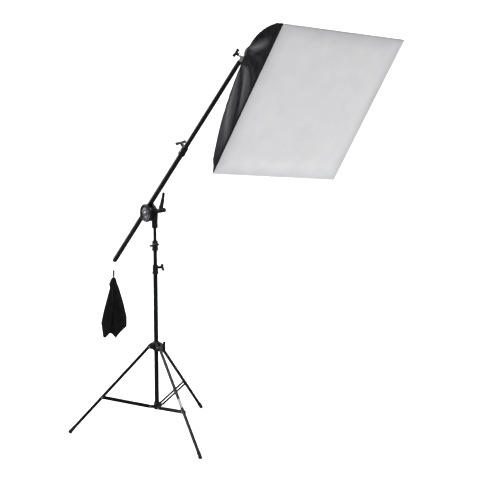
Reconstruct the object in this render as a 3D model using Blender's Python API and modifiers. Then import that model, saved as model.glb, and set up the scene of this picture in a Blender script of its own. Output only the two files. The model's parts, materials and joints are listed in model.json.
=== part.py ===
"""Softbox light on a boom arm: a tripod stand with a tilting boom clamp, a two-stage boom,
a counterweight bag and a tilting lamp head that carries a square fabric softbox.

The column stands on the floor at COLUMN_X, COLUMN_Y. Units are metres and degrees, +Z is up.
"""

import math

import bmesh
import bpy
from mathutils import Matrix, Vector

# ---------------------------------------------------------------- driving dimensions

COLUMN_X = -0.32075
COLUMN_Y = 0.41617

BASE_RADIUS = 0.0110
MID_RADIUS = 0.0095
TOP_RADIUS = 0.0080
TUBE_WALL = 0.0009
BASE_BOTTOM = 0.1260
BASE_TOP = 0.8100
MID_BOTTOM = 0.2500
MID_TOP = 0.9300
TOP_BOTTOM = 0.3000
TOP_TOP = 1.0640

LEG_AZIMUTHS = (180.0, 300.0, 60.0)
LEG_SPLAY = 42.15
LEG_RADIUS = 0.0080
LEG_WALL = 0.0008
LEG_PIVOT_RADIUS = 0.0333
YOKE_HEIGHT = 0.4356
LEG_LENGTH = 0.5835
STRUT_HEIGHT = 0.1336
STRUT_LENGTH = 0.2355
STRUT_ANGLE = 78.3
STRUT_GAP = 0.0085
STRUT_PLATE = 0.0015
STRUT_HALF_WIDTH = 0.0065

BASE_COLLAR_BOTTOM = 0.7953
BASE_COLLAR_KNOB_AZIMUTH = -8.0
MID_COLLAR_BOTTOM = 0.9089
MID_COLLAR_KNOB_AZIMUTH = -94.0
YOKE_KNOB_AZIMUTH = 0.0
SOCKET_BOTTOM = 1.0185
SOCKET_TOP = 1.0700
SOCKET_KNOB_AZIMUTH = 98.0

PIVOT_HEIGHT = 1.0960
BOOM_HEADING = -51.6
BOOM_PITCH = 48.04
BOOM_SIDE = 0.0337
BOOM_RISE = 0.0214
BOOM_RADIUS = 0.0125
BOOM_INNER_RADIUS = 0.0110
BOOM_LOW_END = -0.4010
BOOM_COLLAR_START = 0.4040
BOOM_COLLAR_END = 0.4490
BOOM_OUTER_END = 0.4300
BOOM_INNER_START = 0.3100
BOOM_INNER_END = 1.0325
DISC_RADIUS = 0.0426
FRONT_FACE = 0.0570
SADDLE_SPLIT = 0.0337
SADDLE_BACK = 0.0185
CASTING_BACK = 0.0100
LEVER_THICKNESS = 0.0130

HEAD_SWIVEL = -2.0
HEAD_TILT = 16.9
SOFTBOX_ROLL = -9.1
TILT_ALONG = 1.0937
TILT_SIDE = 0.0160
TILT_RISE = 0.0050
TONGUE_THICKNESS = 0.0110
TONGUE_RADIUS = 0.0085
EAR_THICKNESS = 0.0057
RECEIVER_BOSS_ALONG = 1.0510
RECEIVER_BOSS_TURN = 33.0

FACE_REACH = 0.4550
FACE_HALF = 0.3500
HEM_DEPTH = 0.0150
ROD_ROOT_RADIUS = 0.0500
ROD_ROOT_REACH = 0.0350
ROD_BOW = 0.0185
ROD_RADIUS = 0.0020
FABRIC = 0.0012
SHELL_BACK_RADIUS = 0.0680

EYE_ALONG = BOOM_LOW_END - 0.0120
EYE_RISE = 0.0040
RING_RADIUS = 0.0078
RING_WIRE = 0.0012
HOOK_WIRE = 0.0013
HOOK_LENGTH = 0.0360
HOOK_HALF = 0.0065
STRAP_LENGTH = 0.0280
STRAP_WIDTH = 0.0060
STRAP_THICKNESS = 0.0072
BAG_TURN = 51.6
BAG_THICKNESS = 0.0460
BAG_OUTLINE = [(0.006, 0.000), (0.024, -0.046), (0.046, -0.126), (0.062, -0.200), (0.060, -0.247),
               (0.028, -0.282), (0.004, -0.314), (-0.022, -0.280), (-0.057, -0.310), (-0.067, -0.230),
               (-0.055, -0.176), (-0.021, -0.050), (-0.025, -0.031), (-0.006, -0.001)]

ROD_STEPS = 12
PANEL_STEPS = 10
DISC_STEPS = 28
SMALL_STEPS = 12
SHARP_ANGLE = 35.0
SHELL_START = (SHELL_BACK_RADIUS - ROD_ROOT_RADIUS) / (FACE_HALF * math.sqrt(2.0) - ROD_ROOT_RADIUS)
GAP = 0.0003
ROUND = 20

# ---------------------------------------------------------------- looks

LOOKS = {
    "black_paint": ((0.012, 0.012, 0.013), 0.28, 0.0),
    "black_plastic": ((0.016, 0.016, 0.017), 0.45, 0.0),
    "rubber": ((0.02, 0.02, 0.02), 0.8, 0.0),
    "bright_steel": ((0.62, 0.62, 0.63), 0.3, 1.0),
    "cast_aluminium": ((0.7, 0.7, 0.71), 0.35, 1.0),
    "black_nylon": ((0.02, 0.02, 0.022), 0.7, 0.0),
    "white_fabric": ((0.8, 0.8, 0.82), 0.9, 0.0),
    "white_glass": ((0.85, 0.85, 0.83), 0.25, 0.0),
    "white_ceramic": ((0.8, 0.79, 0.76), 0.35, 0.0),
}

# ---------------------------------------------------------------- scene set-up

for old in list(bpy.data.objects):
    bpy.data.objects.remove(old, do_unlink=True)

PARTS = bpy.data.collections.new("boom_softbox_light")
CUTTERS = bpy.data.collections.new("cutters")
bpy.context.scene.collection.children.link(PARTS)
bpy.context.scene.collection.children.link(CUTTERS)


def look(name):
    """The Principled material of one surface, made once."""
    material = bpy.data.materials.get(name)
    if material:
        return material
    colour, roughness, metallic = LOOKS[name]
    material = bpy.data.materials.new(name)
    material.use_nodes = True
    shader = material.node_tree.nodes["Principled BSDF"]
    shader.inputs["Base Color"].default_value = (*colour, 1.0)
    shader.inputs["Roughness"].default_value = roughness
    shader.inputs["Metallic"].default_value = metallic
    material.diffuse_color = (*colour, 1.0)
    return material


def move(x, y, z):
    return Matrix.Translation((x, y, z))


def turn(degrees, axis):
    return Matrix.Rotation(math.radians(degrees), 4, axis)


def add_object(name, data, frame, surface=None):
    """Put a mesh or curve in the parts, or in the cutters where it has no surface."""
    item = bpy.data.objects.new(name, data)
    item.matrix_world = frame
    if surface:
        data.materials.append(look(surface))
        PARTS.objects.link(item)
    else:
        item.hide_render = True
        item.display_type = "WIRE"
        CUTTERS.objects.link(item)
    return item


# ---------------------------------------------------------------- basic shapes

STAND_UP = turn(90.0, "X")
THROUGH = 0.0200


def turned(name, profile, frame, surface=None, steps=ROUND, closed=True):
    """A shape turned about local Z. The profile (radius, height) runs down its outer side."""
    mesh = bpy.data.meshes.new(name)
    shape = bmesh.new()
    points = [shape.verts.new((radius, 0.0, height)) for radius, height in profile]
    for start, end in zip(points, points[1:]):
        shape.edges.new((start, end))
    if closed:
        shape.edges.new((points[-1], points[0]))
    shape.to_mesh(mesh)
    shape.free()
    item = add_object(name, mesh, frame, surface)
    screw = item.modifiers.new("turn", "SCREW")
    screw.steps = steps
    screw.render_steps = steps
    screw.use_merge_vertices = True
    screw.merge_threshold = 0.00001
    screw.use_smooth_shade = False
    return item


def cylinder(name, radius, low, high, frame, surface=None, steps=ROUND):
    """A solid cylinder along local Z from low to high."""
    profile = [(0.0, high), (radius, high), (radius, low), (0.0, low)]
    return turned(name, profile, frame, surface, steps, closed=False)


def pipe(name, radius, bore, low, high, frame, surface=None, steps=ROUND):
    """An open tube along local Z from low to high."""
    profile = [(radius, high), (radius, low), (bore, low), (bore, high)]
    return turned(name, profile, frame, surface, steps)


def box(name, low, high, frame, surface=None):
    """A box between two opposite corners."""
    mesh = bpy.data.meshes.new(name)
    shape = bmesh.new()
    size = Vector(high) - Vector(low)
    centre = (Vector(high) + Vector(low)) / 2.0
    bmesh.ops.create_cube(shape, size=1.0, matrix=Matrix.LocRotScale(centre, None, size))
    shape.to_mesh(mesh)
    shape.free()
    return add_object(name, mesh, frame, surface)


def mesh_from_curve(item):
    """Replace a curve object by its welded mesh, so that it can be cut and joined."""
    bpy.context.view_layer.update()
    evaluated = item.evaluated_get(bpy.context.evaluated_depsgraph_get())
    mesh = bpy.data.meshes.new_from_object(evaluated)
    shape = bmesh.new()
    shape.from_mesh(mesh)
    bmesh.ops.remove_doubles(shape, verts=shape.verts, dist=0.00001)
    bmesh.ops.recalc_face_normals(shape, faces=shape.faces)
    shape.to_mesh(mesh)
    shape.free()
    name, frame, home = item.name, item.matrix_world.copy(), item.users_collection[0]
    bpy.data.objects.remove(item, do_unlink=True)
    result = bpy.data.objects.new(name, mesh)
    result.matrix_world = frame
    home.objects.link(result)
    if home == CUTTERS:
        result.hide_render = True
        result.display_type = "WIRE"
    return result


def plate(name, outline, thickness, frame, surface=None, rounding=0.0):
    """A flat outline in local XY, thickened equally to both sides of it."""
    curve = bpy.data.curves.new(name, "CURVE")
    curve.dimensions = "2D"
    curve.fill_mode = "BOTH"
    curve.extrude = thickness / 2.0 - rounding
    curve.bevel_depth = rounding
    curve.bevel_resolution = 2
    curve.offset = -rounding
    spline = curve.splines.new("POLY")
    spline.points.add(len(outline) - 1)
    for point, (x, y) in zip(spline.points, outline):
        point.co = (x, y, 0.0, 1.0)
    spline.use_cyclic_u = True
    return mesh_from_curve(add_object(name, curve, frame, surface))


def wire(name, points, radius, frame, surface=None, closed=False):
    """A round wire through points, with eight sides."""
    curve = bpy.data.curves.new(name, "CURVE")
    curve.dimensions = "3D"
    curve.bevel_depth = radius
    curve.bevel_resolution = 2
    curve.use_fill_caps = True
    spline = curve.splines.new("POLY")
    spline.points.add(len(points) - 1)
    for point, place in zip(spline.points, points):
        point.co = (*place, 1.0)
    spline.use_cyclic_u = closed
    return mesh_from_curve(add_object(name, curve, frame, surface))


def combine(item, tool, operation):
    """Join a tool to an item, or cut it away; the tool stays among the cutters."""
    boolean = item.modifiers.new(operation.lower(), "BOOLEAN")
    boolean.operation = operation
    boolean.object = tool
    boolean.solver = "EXACT"
    return item


def join(item, *tools):
    for tool in tools:
        combine(item, tool, "UNION")
    return item


def cut(item, *tools):
    for tool in tools:
        combine(item, tool, "DIFFERENCE")
    return item


def arc(centre, radius, start, end, count):
    """Points of an arc from start to end, in degrees."""
    angles = [math.radians(start + (end - start) * i / count) for i in range(count + 1)]
    return [(centre[0] + radius * math.cos(a), centre[1] + radius * math.sin(a)) for a in angles]


def stadium(start, end, radius, count=6):
    """A flat bar outline along local Y with round ends centred on start and end."""
    return arc((0.0, end), radius, 0.0, 180.0, count) + arc((0.0, start), radius, 180.0, 360.0, count)


# ---------------------------------------------------------------- frames

STAND = move(COLUMN_X, COLUMN_Y, 0.0)
CLAMP = STAND @ move(0.0, 0.0, PIVOT_HEIGHT) @ turn(BOOM_HEADING, "Z")
CRADLE = CLAMP @ turn(-BOOM_PITCH, "Y")
BOOM = CRADLE @ move(0.0, -BOOM_SIDE, BOOM_RISE)
ALONG_X = turn(90.0, "Y")
HOLDER = BOOM @ turn(HEAD_SWIVEL, "X")
TILT = HOLDER @ move(TILT_ALONG, TILT_SIDE, TILT_RISE)
HEAD_AXES = Matrix(((0, 1, 0, 0), (1, 0, 0, 0), (0, 0, -1, 0), (0, 0, 0, 1)))
HEAD = TILT @ turn(-HEAD_TILT, "Y") @ HEAD_AXES
SOFTBOX = HEAD @ turn(SOFTBOX_ROLL, "Z")


def leg_frame(azimuth):
    """At a leg's pivot: the leg runs down local Z and folds about local Y."""
    pivot = move(LEG_PIVOT_RADIUS, 0.0, YOKE_HEIGHT)
    return STAND @ turn(azimuth, "Z") @ pivot @ turn(-LEG_SPLAY, "Y")


def strut_frame(azimuth):
    """At a strut's lower pivot: the strut runs up local Z and folds about local Y."""
    pivot = move(LEG_PIVOT_RADIUS, 0.0, STRUT_HEIGHT)
    return STAND @ turn(azimuth, "Z") @ pivot @ turn(STRUT_ANGLE, "Y")


def radial(azimuth, height):
    """On the column's axis at a height, with local Z pointing out along an azimuth."""
    return STAND @ move(0.0, 0.0, height) @ turn(azimuth, "Z") @ turn(90.0, "Y")


# ---------------------------------------------------------------- shared fittings

KNOB_SCREW_RADIUS = 0.0028
KNOB_NECK = 0.0075
KNOB_FOOT = 0.0085
KNOB_NECK_HEIGHT = 0.0095
KNOB_HEIGHT = 0.0240
KNOB_THICKNESS = 0.0100
THREAD_RADIUS = 0.0032
BOSS_RADIUS = 0.0065
BOLT_HOLE = 0.0044
PIN_HOLE = 0.0024


def wing_knob(name, frame, bar=0.024, reach=0.012):
    """A T screw with local Z out of its boss, whose face is at the origin; its bar has a lobe at each end."""
    screw = [(0.0, KNOB_NECK_HEIGHT - 0.0010), (KNOB_NECK, KNOB_NECK_HEIGHT - 0.0010), (KNOB_FOOT, GAP),
             (KNOB_SCREW_RADIUS, GAP), (KNOB_SCREW_RADIUS, -reach), (0.0, -reach)]
    knob = turned(name, screw, frame, "black_plastic", steps=16, closed=False)
    half = [(0.0070, 0.0030), (KNOB_NECK, KNOB_NECK_HEIGHT), (bar * 0.60, 0.0100), (bar * 0.90, 0.0085),
            (bar, 0.0115), (bar, 0.0215), (bar * 0.90, KNOB_HEIGHT), (bar * 0.55, 0.0215)]
    outline = half + [(-x, y) for x, y in half[::-1]]
    return join(knob, plate(name + "_bar", outline, KNOB_THICKNESS, frame @ STAND_UP))


def screw_boss(item, frame, start, end):
    """A boss along local Z on a collar, bored for its wing screw."""
    name = item.name
    join(item, cylinder(name + "_boss", BOSS_RADIUS, start, end, frame, steps=16))
    thread = cylinder(name + "_thread", THREAD_RADIUS, start - 0.006, end + 0.005, frame, steps=SMALL_STEPS)
    return cut(item, thread)


# ---------------------------------------------------------------- tripod stand

def make_column():
    """The three telescoping tubes."""
    pipe("base_tube", BASE_RADIUS, BASE_RADIUS - TUBE_WALL, BASE_BOTTOM, BASE_TOP, STAND, "black_paint")
    pipe("mid_tube", MID_RADIUS, MID_RADIUS - TUBE_WALL, MID_BOTTOM, MID_TOP, STAND, "black_paint")
    pipe("top_tube", TOP_RADIUS, TOP_RADIUS - TUBE_WALL, TOP_BOTTOM, TOP_TOP, STAND, "black_paint")


def make_collar(name, bottom, lower_bore, upper_bore, shoulder, top, azimuth, knob_height, knob_roll):
    """A clamp collar on a tube's mouth, with a wing screw that grips the inner tube."""
    lower, upper, flange = 0.0145, 0.0140, 0.0160
    profile = [(upper, top), (upper, shoulder), (lower, bottom + 0.008), (flange, bottom + 0.006),
               (flange, bottom), (lower_bore, bottom), (lower_bore, shoulder), (upper_bore, shoulder),
               (upper_bore, top)]
    collar = turned(name, profile, STAND, "black_plastic")
    boss = radial(azimuth, knob_height)
    screw_boss(collar, boss, 0.0125, 0.0190)
    wing_knob(name + "_knob", boss @ move(0.0, 0.0, 0.0190) @ turn(knob_roll, "Z"), reach=0.0085)


def make_hub():
    """The cap on the column's foot, with an ear for each strut."""
    top, bottom, rim = 0.1554, 0.1199, 0.0150
    bore = BASE_RADIUS + GAP
    floor = BASE_BOTTOM - GAP
    profile = [(0.0, floor), (bore, floor), (bore, top), (rim, top), (rim, bottom + 0.003),
               (rim - 0.003, bottom), (0.0, bottom)]
    hub = turned("strut_hub", profile, STAND, "black_plastic", closed=False)
    for index, azimuth in enumerate(LEG_AZIMUTHS, 1):
        side = STAND @ turn(azimuth, "Z") @ move(0.0, 0.0, STRUT_HEIGHT) @ STAND_UP
        tip = arc((LEG_PIVOT_RADIUS, 0.0), 0.0065, -90.0, 90.0, 6)
        ear = [(0.0125, -0.0065)] + tip + [(0.0125, 0.0065)]
        join(hub, plate(f"hub_ear_{index}", ear, 2 * (STRUT_GAP - GAP), side))
        pin = side @ move(LEG_PIVOT_RADIUS, 0.0, 0.0)
        cut(hub, cylinder(f"hub_pin_hole_{index}", PIN_HOLE, -THROUGH, THROUGH, pin, steps=SMALL_STEPS))


def make_yoke():
    """The sliding collar that carries the legs between pairs of ears, with its wing screw."""
    top, bottom, bore = YOKE_HEIGHT + 0.0250, YOKE_HEIGHT - 0.0170, BASE_RADIUS + GAP
    profile = [(0.0165, top - 0.003), (0.0180, top - 0.006), (0.0180, bottom), (bore, bottom),
               (bore, top), (0.0145, top)]
    yoke = turned("yoke", profile, STAND, "black_plastic")
    for index, azimuth in enumerate(LEG_AZIMUTHS, 1):
        pivot = STAND @ turn(azimuth, "Z") @ move(0.0, 0.0, YOKE_HEIGHT)
        tip = arc((LEG_PIVOT_RADIUS, 0.0), 0.0085, -90.0, 60.0, 6)
        ear = [(0.0130, -0.0120)] + tip + [(0.0210, 0.0180), (0.0130, 0.0200)]
        for hand in (-1, 1):
            side = pivot @ move(0.0, hand * 0.0103, 0.0) @ STAND_UP
            join(yoke, plate(f"yoke_ear_{index}_{hand}", ear, 0.0040, side))
        pin = pivot @ STAND_UP @ move(LEG_PIVOT_RADIUS, 0.0, 0.0)
        cut(yoke, cylinder(f"yoke_pin_hole_{index}", PIN_HOLE, -THROUGH, THROUGH, pin, steps=SMALL_STEPS))
        rivet = [(0.0, 0.0143), (0.0035, 0.0138), (0.0042, 0.0126), (0.0020, 0.0126),
                 (0.0020, -0.0126), (0.0042, -0.0126), (0.0035, -0.0138), (0.0, -0.0143)]
        turned(f"leg_pin_{index}", rivet, pin, "bright_steel", steps=SMALL_STEPS, closed=False)
    boss = radial(YOKE_KNOB_AZIMUTH, YOKE_HEIGHT + 0.0040)
    screw_boss(yoke, boss, 0.0160, 0.0225)
    wing_knob("yoke_knob", boss @ move(0.0, 0.0, 0.0225), bar=0.0200, reach=0.0105)


def make_leg(index, azimuth):
    """A leg tube with its knuckle at the yoke and a foot cap cut flat at the floor."""
    frame = leg_frame(azimuth)
    tube_top, tube_end = -0.0130, -LEG_LENGTH + 0.0060
    pipe(f"leg_tube_{index}", LEG_RADIUS, LEG_RADIUS - LEG_WALL, tube_end, tube_top, frame, "black_paint")
    knuckle_half = 0.0080
    outline = arc((0.0, 0.0), 0.0075, 0.0, 180.0, 8) + [(-0.0075, tube_top + GAP), (0.0075, tube_top + GAP)]
    side = frame @ STAND_UP
    knuckle = plate(f"leg_head_{index}", outline, 2 * knuckle_half, side, "black_plastic")
    plug_radius = LEG_RADIUS - LEG_WALL - GAP
    plug_low, plug_high = tube_top - 0.0200, tube_top + 0.0050
    join(knuckle, cylinder(f"leg_plug_{index}", plug_radius, plug_low, plug_high, frame, steps=16))
    cut(knuckle, cylinder(f"leg_pin_hole_{index}", PIN_HOLE, -THROUGH, THROUGH, side, steps=SMALL_STEPS))
    cap, bore, lip = 0.0092, LEG_RADIUS + GAP, -LEG_LENGTH + 0.0350
    floor = tube_end - GAP
    profile = [(0.0, floor), (bore, floor), (bore, lip), (cap - 0.0005, lip), (cap, lip - 0.0020),
               (cap, -LEG_LENGTH + 0.0010), (cap - 0.0010, -LEG_LENGTH), (0.0, -LEG_LENGTH)]
    foot = turned(f"leg_foot_{index}", profile, frame, "rubber", closed=False)
    cut(foot, box(f"floor_cut_{index}", (-1.0, -1.0, -0.1), (1.0, 1.0, 0.0), STAND))


def make_strut(index, azimuth):
    """A pair of flat bars either side of the leg, on one rivet through the hub's ear."""
    frame = strut_frame(azimuth)
    middle = STRUT_GAP + STRUT_PLATE / 2.0
    outline = stadium(0.0, STRUT_LENGTH, STRUT_HALF_WIDTH)
    side = frame @ STAND_UP
    strut = plate(f"strut_{index}", outline, STRUT_PLATE, side @ move(0.0, 0.0, middle), "black_paint")
    join(strut, cylinder(f"strut_pin_{index}", 0.0020, -0.0098, 0.0098, side, steps=SMALL_STEPS))
    join(strut, plate(f"strut_bar_{index}", outline, STRUT_PLATE, side @ move(0.0, 0.0, -middle)))
    for end, along in (("hub", 0.0), ("leg", STRUT_LENGTH)):
        for hand in (-1, 1):
            face = side @ move(0.0, along, 0.0) @ turn(0.0 if hand > 0 else 180.0, "X")
            head = [(0.0, STRUT_GAP + 0.0029), (0.0032, STRUT_GAP + 0.0026), (0.0038, STRUT_GAP + 0.0010),
                    (0.0, STRUT_GAP + 0.0010)]
            rivet = turned(f"strut_rivet_{index}_{end}_{hand}", head, face, steps=SMALL_STEPS, closed=False)
            join(strut, rivet)


def make_stand():
    make_column()
    make_collar("base_collar", BASE_COLLAR_BOTTOM, BASE_RADIUS + GAP, MID_RADIUS + GAP, BASE_TOP + GAP,
                0.8363, BASE_COLLAR_KNOB_AZIMUTH, 0.8270, 40.0)
    make_collar("mid_collar", MID_COLLAR_BOTTOM, MID_RADIUS + GAP, TOP_RADIUS + GAP, MID_TOP + GAP,
                0.9541, MID_COLLAR_KNOB_AZIMUTH, 0.9418, 102.0)
    make_hub()
    make_yoke()
    for index, azimuth in enumerate(LEG_AZIMUTHS, 1):
        make_leg(index, azimuth)
        make_strut(index, azimuth)


# ---------------------------------------------------------------- boom clamp

def make_socket():
    """The casting that sits on the column and carries the fixed disc of the clamp."""
    bore = TOP_RADIUS + GAP
    profile = [(0.0, SOCKET_TOP + 0.006), (0.0120, SOCKET_TOP + 0.006), (0.0145, SOCKET_TOP),
               (0.0145, SOCKET_BOTTOM), (bore, SOCKET_BOTTOM), (bore, TOP_TOP + GAP), (0.0, TOP_TOP + GAP)]
    socket = turned("clamp_socket", profile, STAND, "black_plastic", closed=False)
    facing = CLAMP @ STAND_UP
    hub_end = -0.0160
    disc = [(BOLT_HOLE, SADDLE_BACK - GAP), (DISC_RADIUS, SADDLE_BACK - GAP), (DISC_RADIUS, 0.0125),
            (DISC_RADIUS - 0.004, CASTING_BACK), (0.0150, CASTING_BACK), (0.0130, hub_end),
            (BOLT_HOLE, hub_end)]
    join(socket, turned("socket_disc", disc, facing, steps=DISC_STEPS))
    join(socket, box("socket_web", (-0.0110, -0.0125, -0.0300), (0.0110, 0.0110, -0.0080), CLAMP))
    boss = radial(SOCKET_KNOB_AZIMUTH, (SOCKET_BOTTOM + SOCKET_TOP) / 2.0)
    screw_boss(socket, boss, 0.0125, 0.0190)
    wing_knob("socket_knob", boss @ move(0.0, 0.0, 0.0190), bar=0.0200, reach=0.0100)


def make_cradle():
    """Two grooved discs that close on the boom, on the clamp's through bolt."""
    facing = CRADLE @ STAND_UP
    groove = BOOM @ ALONG_X
    back = [(BOLT_HOLE, SADDLE_SPLIT - GAP), (0.0340, SADDLE_SPLIT - GAP), (0.0340, SADDLE_BACK + 0.0080),
            (DISC_RADIUS, SADDLE_BACK + 0.0080), (DISC_RADIUS, SADDLE_BACK), (BOLT_HOLE, SADDLE_BACK)]
    saddle = turned("clamp_saddle", back, facing, "black_plastic", steps=DISC_STEPS)
    rim = FRONT_FACE - 0.0100
    front = [(BOLT_HOLE, FRONT_FACE - 0.0030), (0.0120, FRONT_FACE - 0.0030), (0.0130, FRONT_FACE - 0.0015),
             (0.0250, FRONT_FACE - 0.0015), (0.0265, FRONT_FACE - 0.0035), (0.0330, FRONT_FACE - 0.0035),
             (0.0345, FRONT_FACE), (DISC_RADIUS - 0.0015, FRONT_FACE), (DISC_RADIUS, FRONT_FACE - 0.0015),
             (DISC_RADIUS, rim), (0.0340, rim), (0.0340, SADDLE_SPLIT + GAP), (BOLT_HOLE, SADDLE_SPLIT + GAP)]
    disc = turned("clamp_front_disc", front, facing, "black_plastic", steps=DISC_STEPS)
    for piece in (saddle, disc):
        cut(piece, cylinder(piece.name + "_groove", BOOM_RADIUS + GAP, -0.1, 0.1, groove))
    bolt = [(0.0, FRONT_FACE + 0.0020), (0.0055, FRONT_FACE + 0.0010), (0.0070, FRONT_FACE - 0.0027),
            (0.0040, FRONT_FACE - 0.0027), (0.0040, -0.0520), (0.0, -0.0520)]
    turned("clamp_bolt", bolt, facing, "bright_steel", steps=16, closed=False)


def make_lever():
    """The clamping lever on the bolt's far end: a hub and a tapered arm that sweeps outwards."""
    facing = CLAMP @ STAND_UP
    start, end = -0.0165, -0.0620
    hub = [(0.0, -0.0525), (0.0044, -0.0525), (0.0044, start), (0.0090, start), (0.0110, start - 0.0020),
           (0.0110, end + 0.0050), (0.0080, end), (0.0, end)]
    lever = turned("clamp_lever", hub, facing, "black_plastic", steps=20, closed=False)
    outline = [(-0.0205, 0.0060), (-0.0515, 0.0060), (-0.0610, 0.0770)]
    outline += arc((-0.0545, 0.0800), 0.0065, 180.0, 20.0, 5) + [(-0.0450, 0.0690)]
    side = CLAMP @ Matrix(((0, 0, -1, 0), (-1, 0, 0, 0), (0, 1, 0, 0), (0, 0, 0, 1)))
    join(lever, plate("lever_arm", outline, LEVER_THICKNESS, side))


# ---------------------------------------------------------------- boom

def make_boom():
    """The two boom tubes, the extension collar, the low end's eye and the upper spigot."""
    along = BOOM @ ALONG_X
    outer_bore, inner_bore = BOOM_RADIUS - 0.0010, BOOM_INNER_RADIUS - 0.0010
    pipe("boom_outer_tube", BOOM_RADIUS, outer_bore, BOOM_LOW_END, BOOM_OUTER_END, along, "black_paint")
    pipe("boom_inner_tube", BOOM_INNER_RADIUS, inner_bore, BOOM_INNER_START, BOOM_INNER_END, along,
         "black_paint")
    bore = BOOM_RADIUS + GAP
    wall, flange = 0.0155, 0.0175
    profile = [(wall - 0.0015, BOOM_COLLAR_END), (wall, BOOM_COLLAR_END - 0.002),
               (wall, BOOM_COLLAR_START + 0.012), (flange, BOOM_COLLAR_START + 0.008),
               (flange, BOOM_COLLAR_START), (bore, BOOM_COLLAR_START),
               (bore, BOOM_OUTER_END + GAP), (BOOM_INNER_RADIUS + GAP, BOOM_OUTER_END + GAP),
               (BOOM_INNER_RADIUS + GAP, BOOM_COLLAR_END)]
    collar = turned("boom_collar", profile, along, "black_plastic")
    boss = BOOM @ move(BOOM_COLLAR_END - 0.0090, 0.0, 0.0)
    screw_boss(collar, boss, 0.0135, 0.0210)
    wing_knob("boom_collar_knob", boss @ move(0.0, 0.0, 0.0210) @ turn(80.0, "Z"), bar=0.0280, reach=0.0092)
    plug = [(0.0, BOOM_LOW_END + 0.0250), (outer_bore - GAP, BOOM_LOW_END + 0.0250),
            (outer_bore - GAP, BOOM_LOW_END - GAP), (BOOM_RADIUS, BOOM_LOW_END - GAP),
            (BOOM_RADIUS - 0.0010, BOOM_LOW_END - 0.0030), (0.0, BOOM_LOW_END - 0.0030)]
    cap = turned("boom_end_cap", plug, along, "black_plastic", closed=False)
    back = BOOM_LOW_END - 0.0010
    eye = [(back, EYE_RISE + 0.0045)] + arc((EYE_ALONG, EYE_RISE), 0.0045, 90.0, 270.0, 8)
    lug = BOOM @ STAND_UP
    join(cap, plate("end_cap_eye", eye + [(back, EYE_RISE - 0.0045)], 0.0030, lug))
    hole = lug @ move(EYE_ALONG, EYE_RISE, 0.0)
    cut(cap, cylinder("end_cap_hole", 0.0026, -THROUGH, THROUGH, hole, steps=SMALL_STEPS))
    spigot = [(0.0, 1.0600), (0.0065, 1.0600), (0.0078, 1.0580), (0.0078, 1.0345), (0.0100, 1.0345),
              (0.0105, BOOM_INNER_END + GAP), (inner_bore - GAP, BOOM_INNER_END + GAP),
              (inner_bore - GAP, 1.0050), (0.0, 1.0050)]
    turned("boom_spigot", spigot, along, "bright_steel", closed=False)


# ---------------------------------------------------------------- counterweight bag

def eye_frame():
    """At the eye of the boom's low end, upright, with local X along the clamp's heading."""
    centre = BOOM @ Vector((EYE_ALONG, 0.0, EYE_RISE))
    return Matrix.Translation(centre) @ turn(BOOM_HEADING, "Z")


def make_bag():
    """The ring in the boom's eye, the snap hook with its gate, the strap and the bag."""
    eye = eye_frame()
    ring_drop = RING_RADIUS + 0.0009
    circle = arc((0.0, -ring_drop), RING_RADIUS, 0.0, 360.0, 16)[:-1]
    wire("hang_ring", [(0.0, y, z) for y, z in circle], RING_WIRE, eye, "bright_steel", closed=True)

    hook_drop = ring_drop + RING_RADIUS + HOOK_HALF - RING_WIRE - HOOK_WIRE - GAP
    hook = eye @ move(0.0, 0.0, -hook_drop)
    span = HOOK_LENGTH - 2.0 * HOOK_HALF
    gate_low = -span + 0.0050
    loop = arc((0.0, 0.0), HOOK_HALF, 0.0, 180.0, 6) + arc((0.0, -span), HOOK_HALF, 180.0, 360.0, 6)
    loop.append((HOOK_HALF, gate_low - 0.0006))
    wire("snap_hook", [(x, 0.0, z) for x, z in loop], HOOK_WIRE, hook, "bright_steel")
    wire("hook_gate", [(HOOK_HALF, 0.0, -GAP), (HOOK_HALF, 0.0, gate_low)], HOOK_WIRE, hook, "bright_steel")

    fold = hook @ move(0.0, 0.0, -span - HOOK_HALF)
    edge = fold @ turn(90.0, "Z") @ STAND_UP
    strap = plate("bag_strap", stadium(-STRAP_LENGTH, 0.0, STRAP_THICKNESS / 2.0), STRAP_WIDTH, edge,
                  "black_nylon")
    cut(strap, cylinder("strap_fold", 0.0024, -THROUGH, THROUGH, edge, steps=SMALL_STEPS))
    bag_top = fold @ move(0.0, 0.0, -STRAP_LENGTH - STRAP_THICKNESS / 2.0 - GAP) @ turn(BAG_TURN, "Z")
    plate("sandbag", BAG_OUTLINE, BAG_THICKNESS, bag_top @ STAND_UP, "black_nylon", rounding=0.006)


# ---------------------------------------------------------------- lamp head

HEAD_SIDE = Matrix(((0, 0, 1, 0), (1, 0, 0, 0), (0, 1, 0, 0), (0, 0, 0, 1)))


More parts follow.
